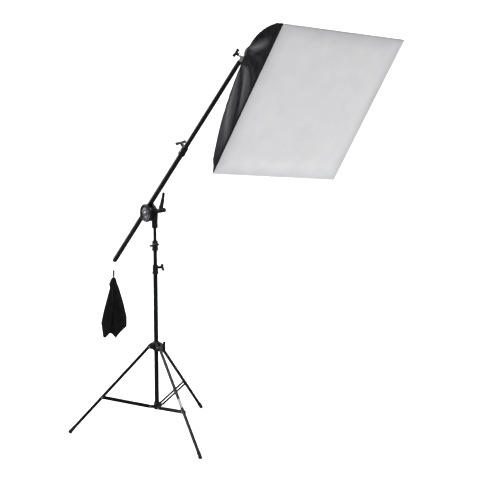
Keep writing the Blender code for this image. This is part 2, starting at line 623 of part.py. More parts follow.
def make_receiver():
    """The aluminium receiver on the boom's spigot, with the tongue of the tilt joint."""
    start, bottom, end = 1.0350, 1.0605, 1.0665
    profile = [(0.0, end), (0.0105, end), (0.0120, end - 0.0015), (0.0120, start), (0.0081, start),
               (0.0081, bottom), (0.0, bottom)]
    receiver = turned("holder_clamp", profile, HOLDER @ ALONG_X, "cast_aluminium", closed=False)
    side = HOLDER @ STAND_UP @ move(0.0, 0.0, -TILT_SIDE)
    root = 1.0440
    tip = arc((TILT_ALONG, TILT_RISE), TONGUE_RADIUS, -100.0, 100.0, 10)
    tongue = [(root, -0.0060)] + tip + [(root, 0.0070)]
    join(receiver, plate("receiver_tongue", tongue, TONGUE_THICKNESS, side))
    pivot = side @ move(TILT_ALONG, TILT_RISE, 0.0)
    cut(receiver, cylinder("tongue_hole", THREAD_RADIUS, -THROUGH, THROUGH, pivot, steps=16))
    boss = HOLDER @ move(RECEIVER_BOSS_ALONG, 0.0, 0.0) @ turn(RECEIVER_BOSS_TURN, "X")
    face = 0.0170
    screw_boss(receiver, boss, 0.0095, face)
    knob = boss @ move(0.0, 0.0, face) @ turn(20.0, "Z")
    wing_knob("holder_clamp_knob", knob, bar=0.0200, reach=0.0080)


def make_lamp_head():
    """The clevis and boss that carry the lamp, its tilt screw, the lamp socket and the bulb."""
    back, front = 0.0110, 0.0460
    base = [(0.0, front), (0.0160, front), (0.0160, back + 0.0020), (0.0145, back), (0.0, back)]
    bracket = turned("tilt_bracket", base, HEAD, "black_plastic", closed=False)
    outline = arc((0.0, 0.0), 0.0090, 180.0, 360.0, 10) + [(0.0090, 0.0125), (-0.0090, 0.0125)]
    ear_middle = TONGUE_THICKNESS / 2.0 + GAP + EAR_THICKNESS / 2.0
    side = HEAD @ HEAD_SIDE
    for hand in (-1, 1):
        ear = plate(f"clevis_ear_{hand}", outline, EAR_THICKNESS, side @ move(0.0, 0.0, hand * ear_middle))
        join(bracket, ear)
    cut(bracket, cylinder("clevis_hole", THREAD_RADIUS, -THROUGH, THROUGH, side, steps=16))
    gland = HEAD @ move(0.0, 0.0155, 0.0)
    join(bracket, cylinder("cable_gland", 0.0042, 0.0040, 0.0120, gland, steps=16))
    cut(bracket, cylinder("gland_mouth", 0.0024, 0.0, 0.0100, gland, steps=SMALL_STEPS))
    outer_face = ear_middle + EAR_THICKNESS / 2.0 + GAP
    wing_knob("tilt_knob", side @ move(0.0, 0.0, outer_face), bar=0.0168, reach=0.0240)

    lamp_socket = [(0.0, 0.0620), (0.0138, 0.0620), (0.0138, 0.1000), (0.0185, 0.1000), (0.0195, 0.0520),
                   (0.0230, 0.0500), (0.0230, front + GAP), (0.0, front + GAP)]
    turned("lamp_socket", lamp_socket, HEAD, "white_ceramic", closed=False)
    wall = 0.0014
    skin = [(0.0200, 0.2935), (0.0290, 0.2850), (0.0310, 0.2700), (0.0310, 0.1450), (0.0250, 0.1360),
            (0.0250, 0.1060), (0.0170, 0.1020), (0.0132, 0.1010), (0.0132, 0.0650)]
    inside = [(radius - wall, height) for radius, height in skin[::-1]]
    bulb = [(0.0, 0.2950)] + skin + inside + [(0.0, 0.2950 - wall)]
    turned("bulb", bulb, HEAD, "white_glass", closed=False)


# ---------------------------------------------------------------- softbox

def bowed(root, tip, bow, share):
    """A point (distance from the lamp axis, distance along it) of a bowed line, share 0 to 1."""
    line = Vector(tip) - Vector(root)
    outward = Vector((line.y, -line.x)).normalized()
    return Vector(root) + line * share + outward * (4.0 * bow * share * (1.0 - share))


def make_ring():
    """The ring that turns on the lamp head's boss, with an angled socket for each rod."""
    profile = [(0.0360, 0.0420), (0.0400, 0.0360), (0.0400, 0.0200), (0.0375, 0.0175), (0.0164, 0.0175),
               (0.0164, 0.0420)]
    ring = turned("holder_ring", profile, SOFTBOX, "black_plastic", steps=DISC_STEPS)
    for index in range(4):
        root = SOFTBOX @ turn(45.0 + 90.0 * index, "Z") @ rod_root()
        join(ring, cylinder(f"rod_socket_{index}", 0.0048, -0.0210, 0.0040, root, steps=10))
        cut(ring, cylinder(f"rod_bore_{index}", ROD_RADIUS + GAP, -0.0120, 0.0060, root, steps=8))


def rod_root():
    """At a rod's root, with local Z along the rod."""
    start, after = rod_point(0.0), rod_point(0.01)
    slope = math.degrees(math.atan2(after.x - start.x, after.y - start.y))
    return move(start.x, 0.0, start.y) @ turn(slope, "Y")


def rod_point(share):
    tip = (FACE_HALF * math.sqrt(2.0) - 0.0080, FACE_REACH - HEM_DEPTH - 0.0015)
    return bowed((ROD_ROOT_RADIUS, ROD_ROOT_REACH), tip, ROD_BOW, share)


def corner_point(share):
    """A point on the fabric's corner seam, outside the rod, from the ring to the hem."""
    tip = (FACE_HALF * math.sqrt(2.0), FACE_REACH - HEM_DEPTH)
    return bowed((ROD_ROOT_RADIUS + 0.0035, ROD_ROOT_REACH - 0.0035), tip, ROD_BOW, share)


def make_rods():
    """Four sprung rods from the ring to the corners of the face."""
    seat = rod_root() @ Vector((0.0, 0.0, -0.0115))
    points = [(seat.x, 0.0, seat.z)]
    for step in range(ROD_STEPS + 1):
        place = rod_point(step / ROD_STEPS)
        points.append((place.x, 0.0, place.y))
    for index in range(4):
        frame = SOFTBOX @ turn(45.0 + 90.0 * index, "Z")
        wire(f"rod_{index + 1}", points, ROD_RADIUS, frame, "bright_steel")


def make_panel(name, angle):
    """One side panel: a strip that widens from the ring to the hem, bowed like the rods."""
    shares = [SHELL_START + (1.0 - SHELL_START) * step / PANEL_STEPS for step in range(PANEL_STEPS + 1)]
    profile = [corner_point(share) for share in shares]
    profile.append(Vector((profile[-1].x, FACE_REACH)))
    shape = bmesh.new()
    rows = len(profile)
    bmesh.ops.create_grid(shape, x_segments=1, y_segments=rows - 1, size=1.0)
    for vert in shape.verts:
        row = round((vert.co.y + 1.0) / 2.0 * (rows - 1))
        distance = profile[row].x / math.sqrt(2.0)
        half_width = distance - FABRIC - GAP
        vert.co = (distance, -half_width * vert.co.x, profile[row].y)
    mesh = bpy.data.meshes.new(name)
    shape.to_mesh(mesh)
    shape.free()
    panel = add_object(name, mesh, SOFTBOX @ turn(angle, "Z"), "black_nylon")
    solid = panel.modifiers.new("cloth", "SOLIDIFY")
    solid.thickness = FABRIC
    solid.offset = -1.0


def make_softbox():
    make_ring()
    make_rods()
    for side, angle in (("right", 0.0), ("top", 90.0), ("left", 180.0), ("bottom", 270.0)):
        make_panel(f"shell_{side}", angle)
    low = (-FACE_HALF, -FACE_HALF, FACE_REACH + GAP)
    box("diffuser", low, (FACE_HALF, FACE_HALF, FACE_REACH + GAP + FABRIC), SOFTBOX, "white_fabric")


def finish():
    """Apply every piece's modifiers, and shade its round faces smooth with its corners left sharp."""
    graph = bpy.context.evaluated_depsgraph_get()
    meshes = [(item, bpy.data.meshes.new_from_object(item.evaluated_get(graph))) for item in PARTS.objects]
    for item, mesh in meshes:
        mesh.shade_smooth()
        mesh.set_sharp_from_angle(angle=math.radians(SHARP_ANGLE))
        item.modifiers.clear()
        item.data = mesh


make_stand()
make_socket()
make_cradle()
make_lever()
make_boom()
make_bag()
make_receiver()
make_lamp_head()
make_softbox()
finish()
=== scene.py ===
"""Looks of the boom softbox light: fine shells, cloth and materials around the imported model.

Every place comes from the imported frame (joints, node boxes and node vertices), in metres.
"""
import json
import math

import bmesh
import bpy
import numpy as np
from mathutils import Matrix, Vector, noise


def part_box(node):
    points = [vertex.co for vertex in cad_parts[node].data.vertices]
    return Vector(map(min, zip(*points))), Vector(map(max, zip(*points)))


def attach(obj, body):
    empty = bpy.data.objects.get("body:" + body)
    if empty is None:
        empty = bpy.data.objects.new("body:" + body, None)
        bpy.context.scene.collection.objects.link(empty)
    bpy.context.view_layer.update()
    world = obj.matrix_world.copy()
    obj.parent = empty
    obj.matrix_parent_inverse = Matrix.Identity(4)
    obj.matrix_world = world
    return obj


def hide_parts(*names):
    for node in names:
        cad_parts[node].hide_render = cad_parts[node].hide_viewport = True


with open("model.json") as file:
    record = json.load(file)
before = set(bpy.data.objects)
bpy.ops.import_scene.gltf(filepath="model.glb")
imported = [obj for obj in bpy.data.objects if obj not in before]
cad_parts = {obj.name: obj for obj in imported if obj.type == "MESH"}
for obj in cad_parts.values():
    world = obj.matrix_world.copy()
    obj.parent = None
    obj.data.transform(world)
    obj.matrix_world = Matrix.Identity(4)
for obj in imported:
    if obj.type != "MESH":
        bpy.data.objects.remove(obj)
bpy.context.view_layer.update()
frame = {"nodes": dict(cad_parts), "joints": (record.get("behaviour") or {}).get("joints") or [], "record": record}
NODES = frame["nodes"]
JOINTS = {joint["name"]: joint for joint in frame["joints"]}
BODY_OF = {node: body for body, nodes in frame["record"]["behaviour"]["bodies"].items() for node in nodes}
SLOT_OF = {part["node"]: part["material_slot"] for part in frame["record"]["subparts"]}

# ---------------------------------------------------------------- sizes

CLOTH_THICKNESS = 0.0006
HEM_DEPTH = 0.015
ROD_MARGIN = 0.009
PANEL_COLUMNS = 80
PANEL_ROWS = 52
CLOTH_FRAMES = 18
FINE_STEPS = 56
EDGE_BEVEL = 0.0006
KNOB_HEIGHT = 0.0240
WEAVE_PITCH = 0.0011

# ---------------------------------------------------------------- material helpers


class Surface:
    """A Principled material with a few short calls for its nodes."""

    def __init__(self, name, colour, roughness, metallic=0.0):
        self.material = bpy.data.materials.new(name)
        self.material.use_nodes = True
        self.tree = self.material.node_tree
        self.shader = self.tree.nodes["Principled BSDF"]
        self.set("Base Color", (*colour, 1.0))
        self.set("Roughness", roughness)
        self.set("Metallic", metallic)
        self.coordinates = self.node("ShaderNodeTexCoord")

    def set(self, socket, value):
        self.shader.inputs[socket].default_value = value

    def node(self, kind, **settings):
        node = self.tree.nodes.new(kind)
        for key, value in settings.items():
            setattr(node, key, value)
        return node

    def link(self, source, target):
        self.tree.links.new(source, target)

    def scaled(self, stretch, output="Object"):
        mapping = self.node("ShaderNodeMapping")
        mapping.inputs["Scale"].default_value = stretch
        self.link(self.coordinates.outputs[output], mapping.inputs["Vector"])
        return mapping.outputs["Vector"]

    def noise(self, scale, detail=3.0, stretch=(1.0, 1.0, 1.0), output="Object", roughness=0.55):
        node = self.node("ShaderNodeTexNoise")
        node.inputs["Scale"].default_value = scale
        node.inputs["Detail"].default_value = detail
        node.inputs["Roughness"].default_value = roughness
        self.link(self.scaled(stretch, output), node.inputs["Vector"])
        return node.outputs["Fac"]

    def bands(self, pitch, direction, output="UV"):
        node = self.node("ShaderNodeTexWave", wave_type="BANDS", bands_direction=direction, wave_profile="SIN")
        node.inputs["Scale"].default_value = math.pi / (10.0 * pitch)
        node.inputs["Distortion"].default_value = 0.0
        self.link(self.coordinates.outputs[output], node.inputs["Vector"])
        return node.outputs["Fac"]

    def math(self, operation, first, second=None):
        node = self.node("ShaderNodeMath", operation=operation)
        for socket, value in zip(node.inputs, (first, second)):
            if hasattr(value, "is_output"):
                self.link(value, socket)
            elif value is not None:
                socket.default_value = value
        return node.outputs["Value"]

    def span(self, value, low, high, start=0.0, end=1.0):
        node = self.node("ShaderNodeMapRange")
        self.link(value, node.inputs["Value"])
        for socket, number in zip(("From Min", "From Max", "To Min", "To Max"), (low, high, start, end)):
            node.inputs[socket].default_value = number
        return node.outputs["Result"]

    def ramp(self, value, stops):
        node = self.node("ShaderNodeValToRGB")
        ramp = node.color_ramp
        ramp.elements[0].position, ramp.elements[0].color = stops[0][0], (*stops[0][1], 1.0)
        ramp.elements[1].position, ramp.elements[1].color = stops[-1][0], (*stops[-1][1], 1.0)
        for position, colour in stops[1:-1]:
            ramp.elements.new(position).color = (*colour, 1.0)
        self.link(value, node.inputs["Fac"])
        return node.outputs["Color"]

    def mix(self, share, first, second):
        node = self.node("ShaderNodeMix", data_type="RGBA")
        self.link(share, node.inputs["Factor"])
        for socket, value in ((node.inputs[6], first), (node.inputs[7], second)):
            if hasattr(value, "is_output"):
                self.link(value, socket)
            else:
                socket.default_value = (*value, 1.0)
        return node.outputs[2]

    def worn(self, low=0.55, high=0.72):
        """Where the surface turns sharply, as on an edge that has been handled."""
        geometry = self.node("ShaderNodeNewGeometry")
        return self.span(geometry.outputs["Pointiness"], low, high)

    def colour(self, output):
        self.link(output, self.shader.inputs["Base Color"])

    def roughness(self, output):
        self.link(output, self.shader.inputs["Roughness"])

    def bump(self, height, distance, strength=1.0):
        node = self.node("ShaderNodeBump")
        node.inputs["Distance"].default_value = distance
        node.inputs["Strength"].default_value = strength
        self.link(height, node.inputs["Height"])
        previous = self.shader.inputs["Normal"].links
        if previous:
            self.link(previous[0].from_socket, node.inputs["Normal"])
        self.link(node.outputs["Normal"], self.shader.inputs["Normal"])


# ---------------------------------------------------------------- materials

def tube_paint():
    """Gloss black stoving paint on drawn tube: slight orange peel, fine dust and scuffs."""
    surface = Surface("gloss_black_paint", (0.004, 0.004, 0.004), 0.22)
    surface.set("Specular IOR Level", 0.30)
    surface.set("Coat Weight", 0.25)
    surface.set("Coat Roughness", 0.08)
    dust = surface.noise(160.0, 5.0)
    scuffs = surface.noise(34.0, 6.0, (1.0, 1.0, 0.35))
    surface.colour(surface.mix(surface.span(scuffs, 0.45, 0.75, 0.0, 0.6), (0.002, 0.002, 0.0022), (0.006, 0.006, 0.0065)))
    surface.roughness(surface.span(dust, 0.3, 0.8, 0.14, 0.26))
    surface.bump(surface.noise(420.0, 2.0), 0.00004)
    return surface.material


def moulded_black(name="moulded_black", roughness=0.42):
    """Glass-filled black nylon castings with a fine spark texture and paler handled edges."""
    surface = Surface(name, (0.006, 0.006, 0.006), roughness)
    surface.set("Specular IOR Level", 0.25)
    grain = surface.noise(1500.0, 2.0)
    cloud = surface.noise(60.0, 4.0)
    body = surface.mix(surface.span(cloud, 0.35, 0.75), (0.004, 0.004, 0.0045), (0.009, 0.009, 0.010))
    surface.colour(surface.mix(surface.worn(), body, (0.030, 0.030, 0.032)))
    surface.roughness(surface.span(cloud, 0.3, 0.75, roughness - 0.08, roughness + 0.12))
    surface.bump(grain, 0.00007)
    return surface.material


def satin_grey():
    """The turned label ring on the clamp's face: satin dark grey with concentric tool marks."""
    surface = Surface("satin_grey", (0.10, 0.10, 0.11), 0.38, 0.35)
    surface.colour(surface.ramp(surface.noise(90.0, 4.0), [(0.3, (0.075, 0.076, 0.082)), (0.7, (0.13, 0.13, 0.14))]))
    surface.bump(surface.noise(900.0, 2.0), 0.00004)
    return surface.material


def rubber():
    """Matt black rubber with a dusty bloom."""
    surface = Surface("black_rubber", (0.01, 0.01, 0.01), 0.8)
    surface.set("Specular IOR Level", 0.25)
    bloom = surface.noise(140.0, 6.0)
    surface.colour(surface.mix(surface.span(bloom, 0.4, 0.75), (0.005, 0.005, 0.005), (0.018, 0.018, 0.017)))
    surface.roughness(surface.span(bloom, 0.3, 0.7, 0.68, 0.9))
    surface.bump(surface.noise(1900.0, 3.0), 0.00009)
    return surface.material


def bright_steel():
    """Bright zinc-plated steel with fine drawing lines and a faint blue-grey cloud."""
    surface = Surface("bright_steel", (0.66, 0.67, 0.69), 0.24, 1.0)
    cloud = surface.noise(120.0, 4.0)
    surface.colour(surface.ramp(cloud, [(0.3, (0.34, 0.345, 0.36)), (0.7, (0.54, 0.54, 0.56))]))
    surface.roughness(surface.span(surface.noise(700.0, 3.0, (1.0, 1.0, 0.08)), 0.3, 0.7, 0.16, 0.36))
    surface.bump(surface.noise(2400.0, 2.0), 0.00002)
    return surface.material


def wire_steel():
    """Dull nickel-plated wire of the ring and hook, darker in its drawing lines."""
    surface = Surface("wire_steel", (0.20, 0.20, 0.21), 0.38, 1.0)
    surface.colour(surface.ramp(surface.noise(220.0, 4.0), [(0.3, (0.13, 0.13, 0.14)), (0.7, (0.26, 0.26, 0.27))]))
    surface.roughness(surface.span(surface.noise(700.0, 3.0, (1.0, 1.0, 0.08)), 0.3, 0.7, 0.30, 0.46))
    surface.bump(surface.noise(2400.0, 2.0), 0.00002)
    return surface.material


def cast_aluminium():
    """Tumbled cast aluminium: soft satin with pits and brighter rubbed edges."""
    surface = Surface("cast_aluminium", (0.70, 0.70, 0.71), 0.36, 1.0)
    cloud = surface.noise(220.0, 5.0)
    body = surface.ramp(cloud, [(0.3, (0.50, 0.50, 0.51)), (0.7, (0.72, 0.72, 0.73))])
    surface.colour(surface.mix(surface.worn(), body, (0.9, 0.9, 0.9)))
    surface.roughness(surface.span(cloud, 0.3, 0.75, 0.28, 0.5))
    surface.bump(surface.noise(1300.0, 4.0), 0.00008)
    return surface.material


def woven_height(surface, pitch):
    """Height of a plain weave: the higher of a warp and a weft thread, over and under."""
    warp = surface.bands(pitch, "X")
    weft = surface.bands(pitch, "Y")
    return surface.math("MAXIMUM", surface.math("POWER", warp, 1.5), surface.math("POWER", weft, 1.5))


def black_nylon(name, gloss, base, roughness):
    """Coated black nylon taffeta: a fine plain weave, mottled, and paler where painted sheen stands in for light on its
    creases and folds.
    """
    surface = Surface(name, (base, base, base * 1.08), roughness)
    surface.set("Specular IOR Level", gloss)
    cloud = surface.noise(26.0, 6.0)
    fine = surface.noise(300.0, 3.0)
    light = base * 2.4
    body = surface.mix(surface.span(cloud, 0.35, 0.7), (base, base, base * 1.08), (light, light, light * 1.08))
    specks = (base * 4.5, base * 4.5, base * 4.9)
    speckled = surface.mix(surface.span(fine, 0.5, 0.8, 0.0, 0.5), body, specks)
    # Painted sheen: the cloth turns paler where the side panels' attribute marks the creases, the tuck and the lower
    # facet as lit.
    painted_sheen_share = surface.node("ShaderNodeAttribute", attribute_name="painted_sheen").outputs["Fac"]
    surface.colour(surface.mix(surface.span(painted_sheen_share, 0.0, 1.0), speckled, (0.086, 0.086, 0.089)))
    surface.roughness(surface.span(cloud, 0.3, 0.7, roughness - 0.08, roughness + 0.08))
    surface.bump(surface.noise(24.0, 4.0), 0.0010, 0.5)
    surface.bump(woven_height(surface, WEAVE_PITCH), 0.00010, 0.6)
    return surface.material


def webbing():
    """Black polypropylene webbing: coarse ribs across the strap."""
    surface = Surface("black_webbing", (0.008, 0.008, 0.008), 0.7)
    surface.set("Specular IOR Level", 0.2)
    surface.colour(surface.ramp(surface.noise(400.0, 4.0), [(0.3, (0.004, 0.004, 0.004)), (0.7, (0.014, 0.014, 0.015))]))
    surface.bump(surface.bands(0.0012, "Z", "Object"), 0.0002)
    return surface.material


def edge_tape():
    """Black grosgrain tape that binds the hem."""
    surface = Surface("edge_tape", (0.004, 0.004, 0.004), 0.72)
    surface.set("Specular IOR Level", 0.0)
    surface.colour(surface.ramp(surface.noise(260.0, 4.0), [(0.3, (0.003, 0.003, 0.0035)), (0.7, (0.008, 0.008, 0.009))]))
    surface.bump(surface.bands(0.0009, "X"), 0.00015)
    return surface.material


def seam_thread():
    """Black polyester thread, slightly shinier than the cloth."""
    surface = Surface("seam_thread", (0.04, 0.04, 0.042), 0.5)
    surface.colour(surface.ramp(surface.noise(900.0, 2.0), [(0.3, (0.03, 0.03, 0.032)), (0.7, (0.07, 0.07, 0.073))]))
    surface.bump(surface.noise(3000.0, 2.0), 0.0001)
    return surface.material


def diffuser_cloth():
    """White diffusion cloth: matt, faintly mottled, and greyer towards the hem with painted shade."""
    surface = Surface("diffuser_cloth", (0.82, 0.82, 0.84), 0.92)
    surface.set("Sheen Weight", 0.15)
    split = surface.node("ShaderNodeSeparateXYZ")
    surface.link(surface.coordinates.outputs["UV"], split.inputs["Vector"])
    sides = [surface.math("ABSOLUTE", split.outputs[axis]) for axis in ("X", "Y")]
    far = surface.math("MAXIMUM", sides[0], sides[1])
    edge_shade_distance = surface.math("ADD", far, surface.math("MULTIPLY", surface.noise(9.0, 4.0), 0.035))
    centre = surface.mix(surface.span(surface.noise(14.0, 5.0), 0.3, 0.7), (0.655, 0.655, 0.67), (0.70, 0.70, 0.71))
    # Painted shade: the cloth greys over its last few centimetres towards the hem, where the box's sides shade it.
    rim = surface.span(edge_shade_distance, 0.30, 0.372)
    surface.colour(surface.mix(surface.math("POWER", rim, 1.6), centre, (0.52, 0.52, 0.545)))
    surface.bump(surface.noise(30.0, 4.0), 0.0008, 0.5)
    surface.bump(woven_height(surface, 0.0009), 0.00008, 0.6)
    return surface.material


def silver_lining():
    """The quilted silver cloth inside the box."""
    surface = Surface("silver_lining", (0.62, 0.62, 0.64), 0.42, 0.8)
    surface.colour(surface.ramp(surface.noise(60.0, 5.0), [(0.3, (0.5, 0.5, 0.52)), (0.7, (0.72, 0.72, 0.74))]))
    surface.bump(woven_height(surface, 0.004), 0.0005)
    return surface.material


def opal_glass():
    """Opal white glass of the lamp's envelope."""
    surface = Surface("opal_glass", (0.86, 0.86, 0.84), 0.22)
    surface.set("Subsurface Weight", 0.2)
    surface.colour(surface.ramp(surface.noise(40.0, 3.0), [(0.3, (0.83, 0.83, 0.81)), (0.7, (0.89, 0.89, 0.87))]))
    surface.bump(surface.noise(300.0, 2.0), 0.00003)
    return surface.material


def glazed_ceramic():
    """Cream glazed ceramic of the lamp socket."""
    surface = Surface("glazed_ceramic", (0.82, 0.80, 0.75), 0.25)
    surface.set("Coat Weight", 0.5)
    surface.colour(surface.ramp(surface.noise(180.0, 4.0), [(0.3, (0.74, 0.72, 0.67)), (0.7, (0.86, 0.84, 0.79))]))
    surface.bump(surface.noise(500.0, 2.0), 0.00004)
    return surface.material


def blank_label():
    """A plain silver-white foil band with no print on it."""
    surface = Surface("blank_label", (0.42, 0.43, 0.45), 0.42, 0.2)
    surface.colour(surface.ramp(surface.noise(130.0, 5.0), [(0.35, (0.25, 0.26, 0.28)), (0.7, (0.37, 0.38, 0.40))]))
    surface.bump(surface.noise(420.0, 4.0), 0.00015)
    return surface.material


def plain_floor():
    """Pale seamless paper, seen from its front only, so that a camera behind the sweep still sees the object."""
    surface = Surface("pale_floor", (0.93, 0.93, 0.93), 0.85)
    surface.colour(surface.ramp(surface.noise(3.0, 4.0), [(0.3, (0.925, 0.925, 0.925)), (0.7, (0.94, 0.94, 0.94))]))
    tree = surface.material.node_tree
    output = next(node for node in tree.nodes if node.type == "OUTPUT_MATERIAL")
    front = output.inputs["Surface"].links[0].from_socket
    mix = tree.nodes.new("ShaderNodeMixShader")
    side = tree.nodes.new("ShaderNodeNewGeometry")
    clear = tree.nodes.new("ShaderNodeBsdfTransparent")
    tree.links.new(side.outputs["Backfacing"], mix.inputs[0])
    tree.links.new(front, mix.inputs[1])
    tree.links.new(clear.outputs[0], mix.inputs[2])
    tree.links.new(mix.outputs[0], output.inputs["Surface"])
    return surface.material


LOOKS = {
    "tube_paint": tube_paint(),
    "casting_black": moulded_black(),
    "rubber_feet": rubber(),
    "bright_steel": bright_steel(),
    "cast_aluminium": cast_aluminium(),
    "black_nylon": black_nylon("bag_nylon", 0.12, 0.0035, 0.42),
    "white_diffuser": diffuser_cloth(),
    "lamp_glass": opal_glass(),
    "socket_ceramic": glazed_ceramic(),
}
GLOSS_PLASTIC = moulded_black("gloss_black", 0.24)
SATIN_GREY = satin_grey()
WIRE_STEEL = wire_steel()
SOFTBOX_NYLON = black_nylon("softbox_nylon", 0.0, 0.0045, 0.55)
WEBBING = webbing()
EDGE_TAPE = edge_tape()
SEAM_THREAD = seam_thread()
SILVER_LINING = silver_lining()
BLANK_LABEL = blank_label()

# ---------------------------------------------------------------- places from the frame


def points_of(node):
    """The node's vertices as an array."""
    mesh = NODES[node].data
    flat = np.empty(len(mesh.vertices) * 3)
    mesh.vertices.foreach_get("co", flat)
    return flat.reshape(-1, 3)


def joint_place(name):
    joint = JOINTS[name]
    return Vector(joint["pos_m"]), Vector(joint["axis"]).normalized()


def axes(origin, z_axis, x_hint):
    """A right-handed frame with this Z, and X as near to the hint as it can be."""
    z_axis = z_axis.normalized()
    x_axis = (x_hint - z_axis * x_hint.dot(z_axis)).normalized()
    y_axis = z_axis.cross(x_axis)
    matrix = Matrix((x_axis, y_axis, z_axis)).transposed().to_4x4()
    matrix.translation = origin
    return matrix


def reach_along(node, origin, axis):
    """The lowest and highest place of a node along an axis."""
    along = (points_of(node) - np.array(origin)) @ np.array(axis)
    return float(along.min()), float(along.max())


def long_axis(node):
    """Middle, direction and half length of a straight tube node, with its two radii."""
    points = points_of(node)
    middle = (points.min(0) + points.max(0)) / 2.0
    direction = np.linalg.svd(points - points.mean(0), full_matrices=False)[2][0]
    direction = direction * (1.0 if direction[2] > 0 else -1.0)
    along = (points - middle) @ direction
    middle = middle + direction * (along.min() + along.max()) / 2.0
    off = points - middle - np.outer((points - middle) @ direction, direction)
    radii = np.linalg.norm(off, axis=1)
    half = (along.max() - along.min()) / 2.0
    return Vector(middle), Vector(direction), half, float(radii.max()), float(radii.min())


# ---------------------------------------------------------------- mesh helpers

def new_object(name, mesh, material, body, matrix=None):
    """Links a mesh as a piece that rides on a body, with its place in its vertices."""
    if matrix is not None:
        mesh.transform(matrix)
    item = bpy.data.objects.new(name, mesh)
    item.data.materials.append(material)
    bpy.context.scene.collection.objects.link(item)
    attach(item, body)
    return item


def smooth(mesh, degrees=35.0):
    mesh.shade_smooth()
    mesh.set_sharp_from_angle(angle=math.radians(degrees))


def lathe(name, profile, matrix, material, body, steps=FINE_STEPS, closed=False, degrees=35.0):
    """A turned piece. The profile (radius, height) runs up the outside from the axis, or round a closed ring."""
    shape = bmesh.new()
    rings = []
    for radius, height in profile:
        if radius < 1e-7:
            rings.append([shape.verts.new((0.0, 0.0, height))])
            continue
        ring = []
        for step in range(steps):
            angle = math.tau * step / steps
            ring.append(shape.verts.new((radius * math.cos(angle), radius * math.sin(angle), height)))
        rings.append(ring)
    pairs = list(zip(rings, rings[1:]))
    if closed:
        pairs.append((rings[-1], rings[0]))
    for lower, upper in pairs:
        for step in range(steps):
            after = (step + 1) % steps
            corners = [lower[step % len(lower)], lower[after % len(lower)],
                       upper[after % len(upper)], upper[step % len(upper)]]
            corners = list(dict.fromkeys(corners))
            if len(corners) > 2:
                shape.faces.new(corners)
    bmesh.ops.recalc_face_normals(shape, faces=shape.faces)
    mesh = bpy.data.meshes.new(name)
    shape.to_mesh(mesh)
    shape.free()
    smooth(mesh, degrees)
    return new_object(name, mesh, material, body, matrix)


def rounded(corners, radius=EDGE_BEVEL, steps=3):
    """A profile whose inner corners are rounded off."""
    result = [corners[0]]
    for before, corner, after in zip(corners, corners[1:], corners[2:]):
        here, back, ahead = Vector(corner), Vector(before), Vector(after)
        cut = min(radius, (back - here).length * 0.45, (ahead - here).length * 0.45)
        start = here + (back - here).normalized() * cut
        end = here + (ahead - here).normalized() * cut
        for step in range(steps + 1):
            share = step / steps
            point = start.lerp(here, share).lerp(here.lerp(end, share), share)
            result.append((point.x, point.y))
    result.append(corners[-1])
    return result


def refined(node, width=EDGE_BEVEL, material=None, degrees=32.0):
    """A copy of a CAD node with its flat faces joined up and its edges rounded, shown in its place."""
    shape = bmesh.new()
    shape.from_mesh(NODES[node].data)
    bmesh.ops.remove_doubles(shape, verts=shape.verts, dist=0.00002)
    bmesh.ops.dissolve_limit(shape, angle_limit=math.radians(1.0), verts=shape.verts, edges=shape.edges)
    bmesh.ops.recalc_face_normals(shape, faces=shape.faces)
    mesh = bpy.data.meshes.new("fine_" + node)
    shape.to_mesh(mesh)
    shape.free()
    item = new_object("fine_" + node, mesh, material or LOOKS[SLOT_OF[node]], BODY_OF[node])
    bevel = item.modifiers.new("edges", "BEVEL")
    bevel.width = width
    bevel.segments = 2
    bevel.limit_method = "ANGLE"
    bevel.angle_limit = math.radians(degrees)
    bevel.use_clamp_overlap = True
    bevel.miter_outer = "MITER_ARC"
    apply_modifiers(item)
    smooth(item.data, 40.0)
    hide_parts(node)
    return item


def apply_modifiers(item):
    """Bakes the item's modifiers into its mesh."""
    bpy.context.view_layer.update()
    evaluated = item.evaluated_get(bpy.context.evaluated_depsgraph_get())
    mesh = bpy.data.meshes.new_from_object(evaluated)
    old = item.data
    item.modifiers.clear()
    item.data = mesh
    mesh.name = old.name
    bpy.data.meshes.remove(old)


def swept(name, path, radius, material, body, closed=False, sides=16):
    """A round wire along world points, as a mesh."""
    curve = bpy.data.curves.new(name, "CURVE")
    curve.dimensions = "3D"
    curve.bevel_depth = radius
    curve.bevel_resolution = sides // 4
    curve.use_fill_caps = True
    spline = curve.splines.new("POLY")
    spline.points.add(len(path) - 1)
    for point, place in zip(spline.points, path):
        point.co = (*place, 1.0)
    spline.use_cyclic_u = closed
    holder = bpy.data.objects.new(name + "_curve", curve)
    bpy.context.scene.collection.objects.link(holder)
    bpy.context.view_layer.update()
    mesh = bpy.data.meshes.new_from_object(holder.evaluated_get(bpy.context.evaluated_depsgraph_get()))
    bpy.data.objects.remove(holder)
    shape = bmesh.new()
    shape.from_mesh(mesh)
    bmesh.ops.remove_doubles(shape, verts=shape.verts, dist=0.00001)
    shape.to_mesh(mesh)
    shape.free()
    mesh.name = name
    smooth(mesh, 50.0)
    return new_object(name, mesh, material, body)


def arc_points(matrix, centre, radius, start, end, count):
    """World points of an arc in the matrix's XZ plane."""
    result = []
    for step in range(count + 1):
        angle = math.radians(start + (end - start) * step / count)
        result.append(matrix @ Vector((centre[0] + radius * math.cos(angle), 0.0, centre[1] + radius * math.sin(angle))))
    return result


# ---------------------------------------------------------------- tubes

def fine_tube(node):
    """A drawn tube with rolled rims in place of the CAD tube."""
    middle, direction, half, outer, bore = long_axis(node)
    rim = min(0.0003, (outer - bore) * 0.4)
    profile = [(outer, -half + rim), (outer, half - rim), (outer - rim, half), (bore + rim, half),
               (bore, half - rim), (bore, -half + rim), (bore + rim, -half), (outer - rim, -half)]
    matrix = axes(middle, direction, Vector((0.3, 1.0, 0.2)))
    tube = lathe("fine_" + node, profile, matrix, LOOKS["tube_paint"], BODY_OF[node], closed=True)
    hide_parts(node)
    return middle, direction, half, outer


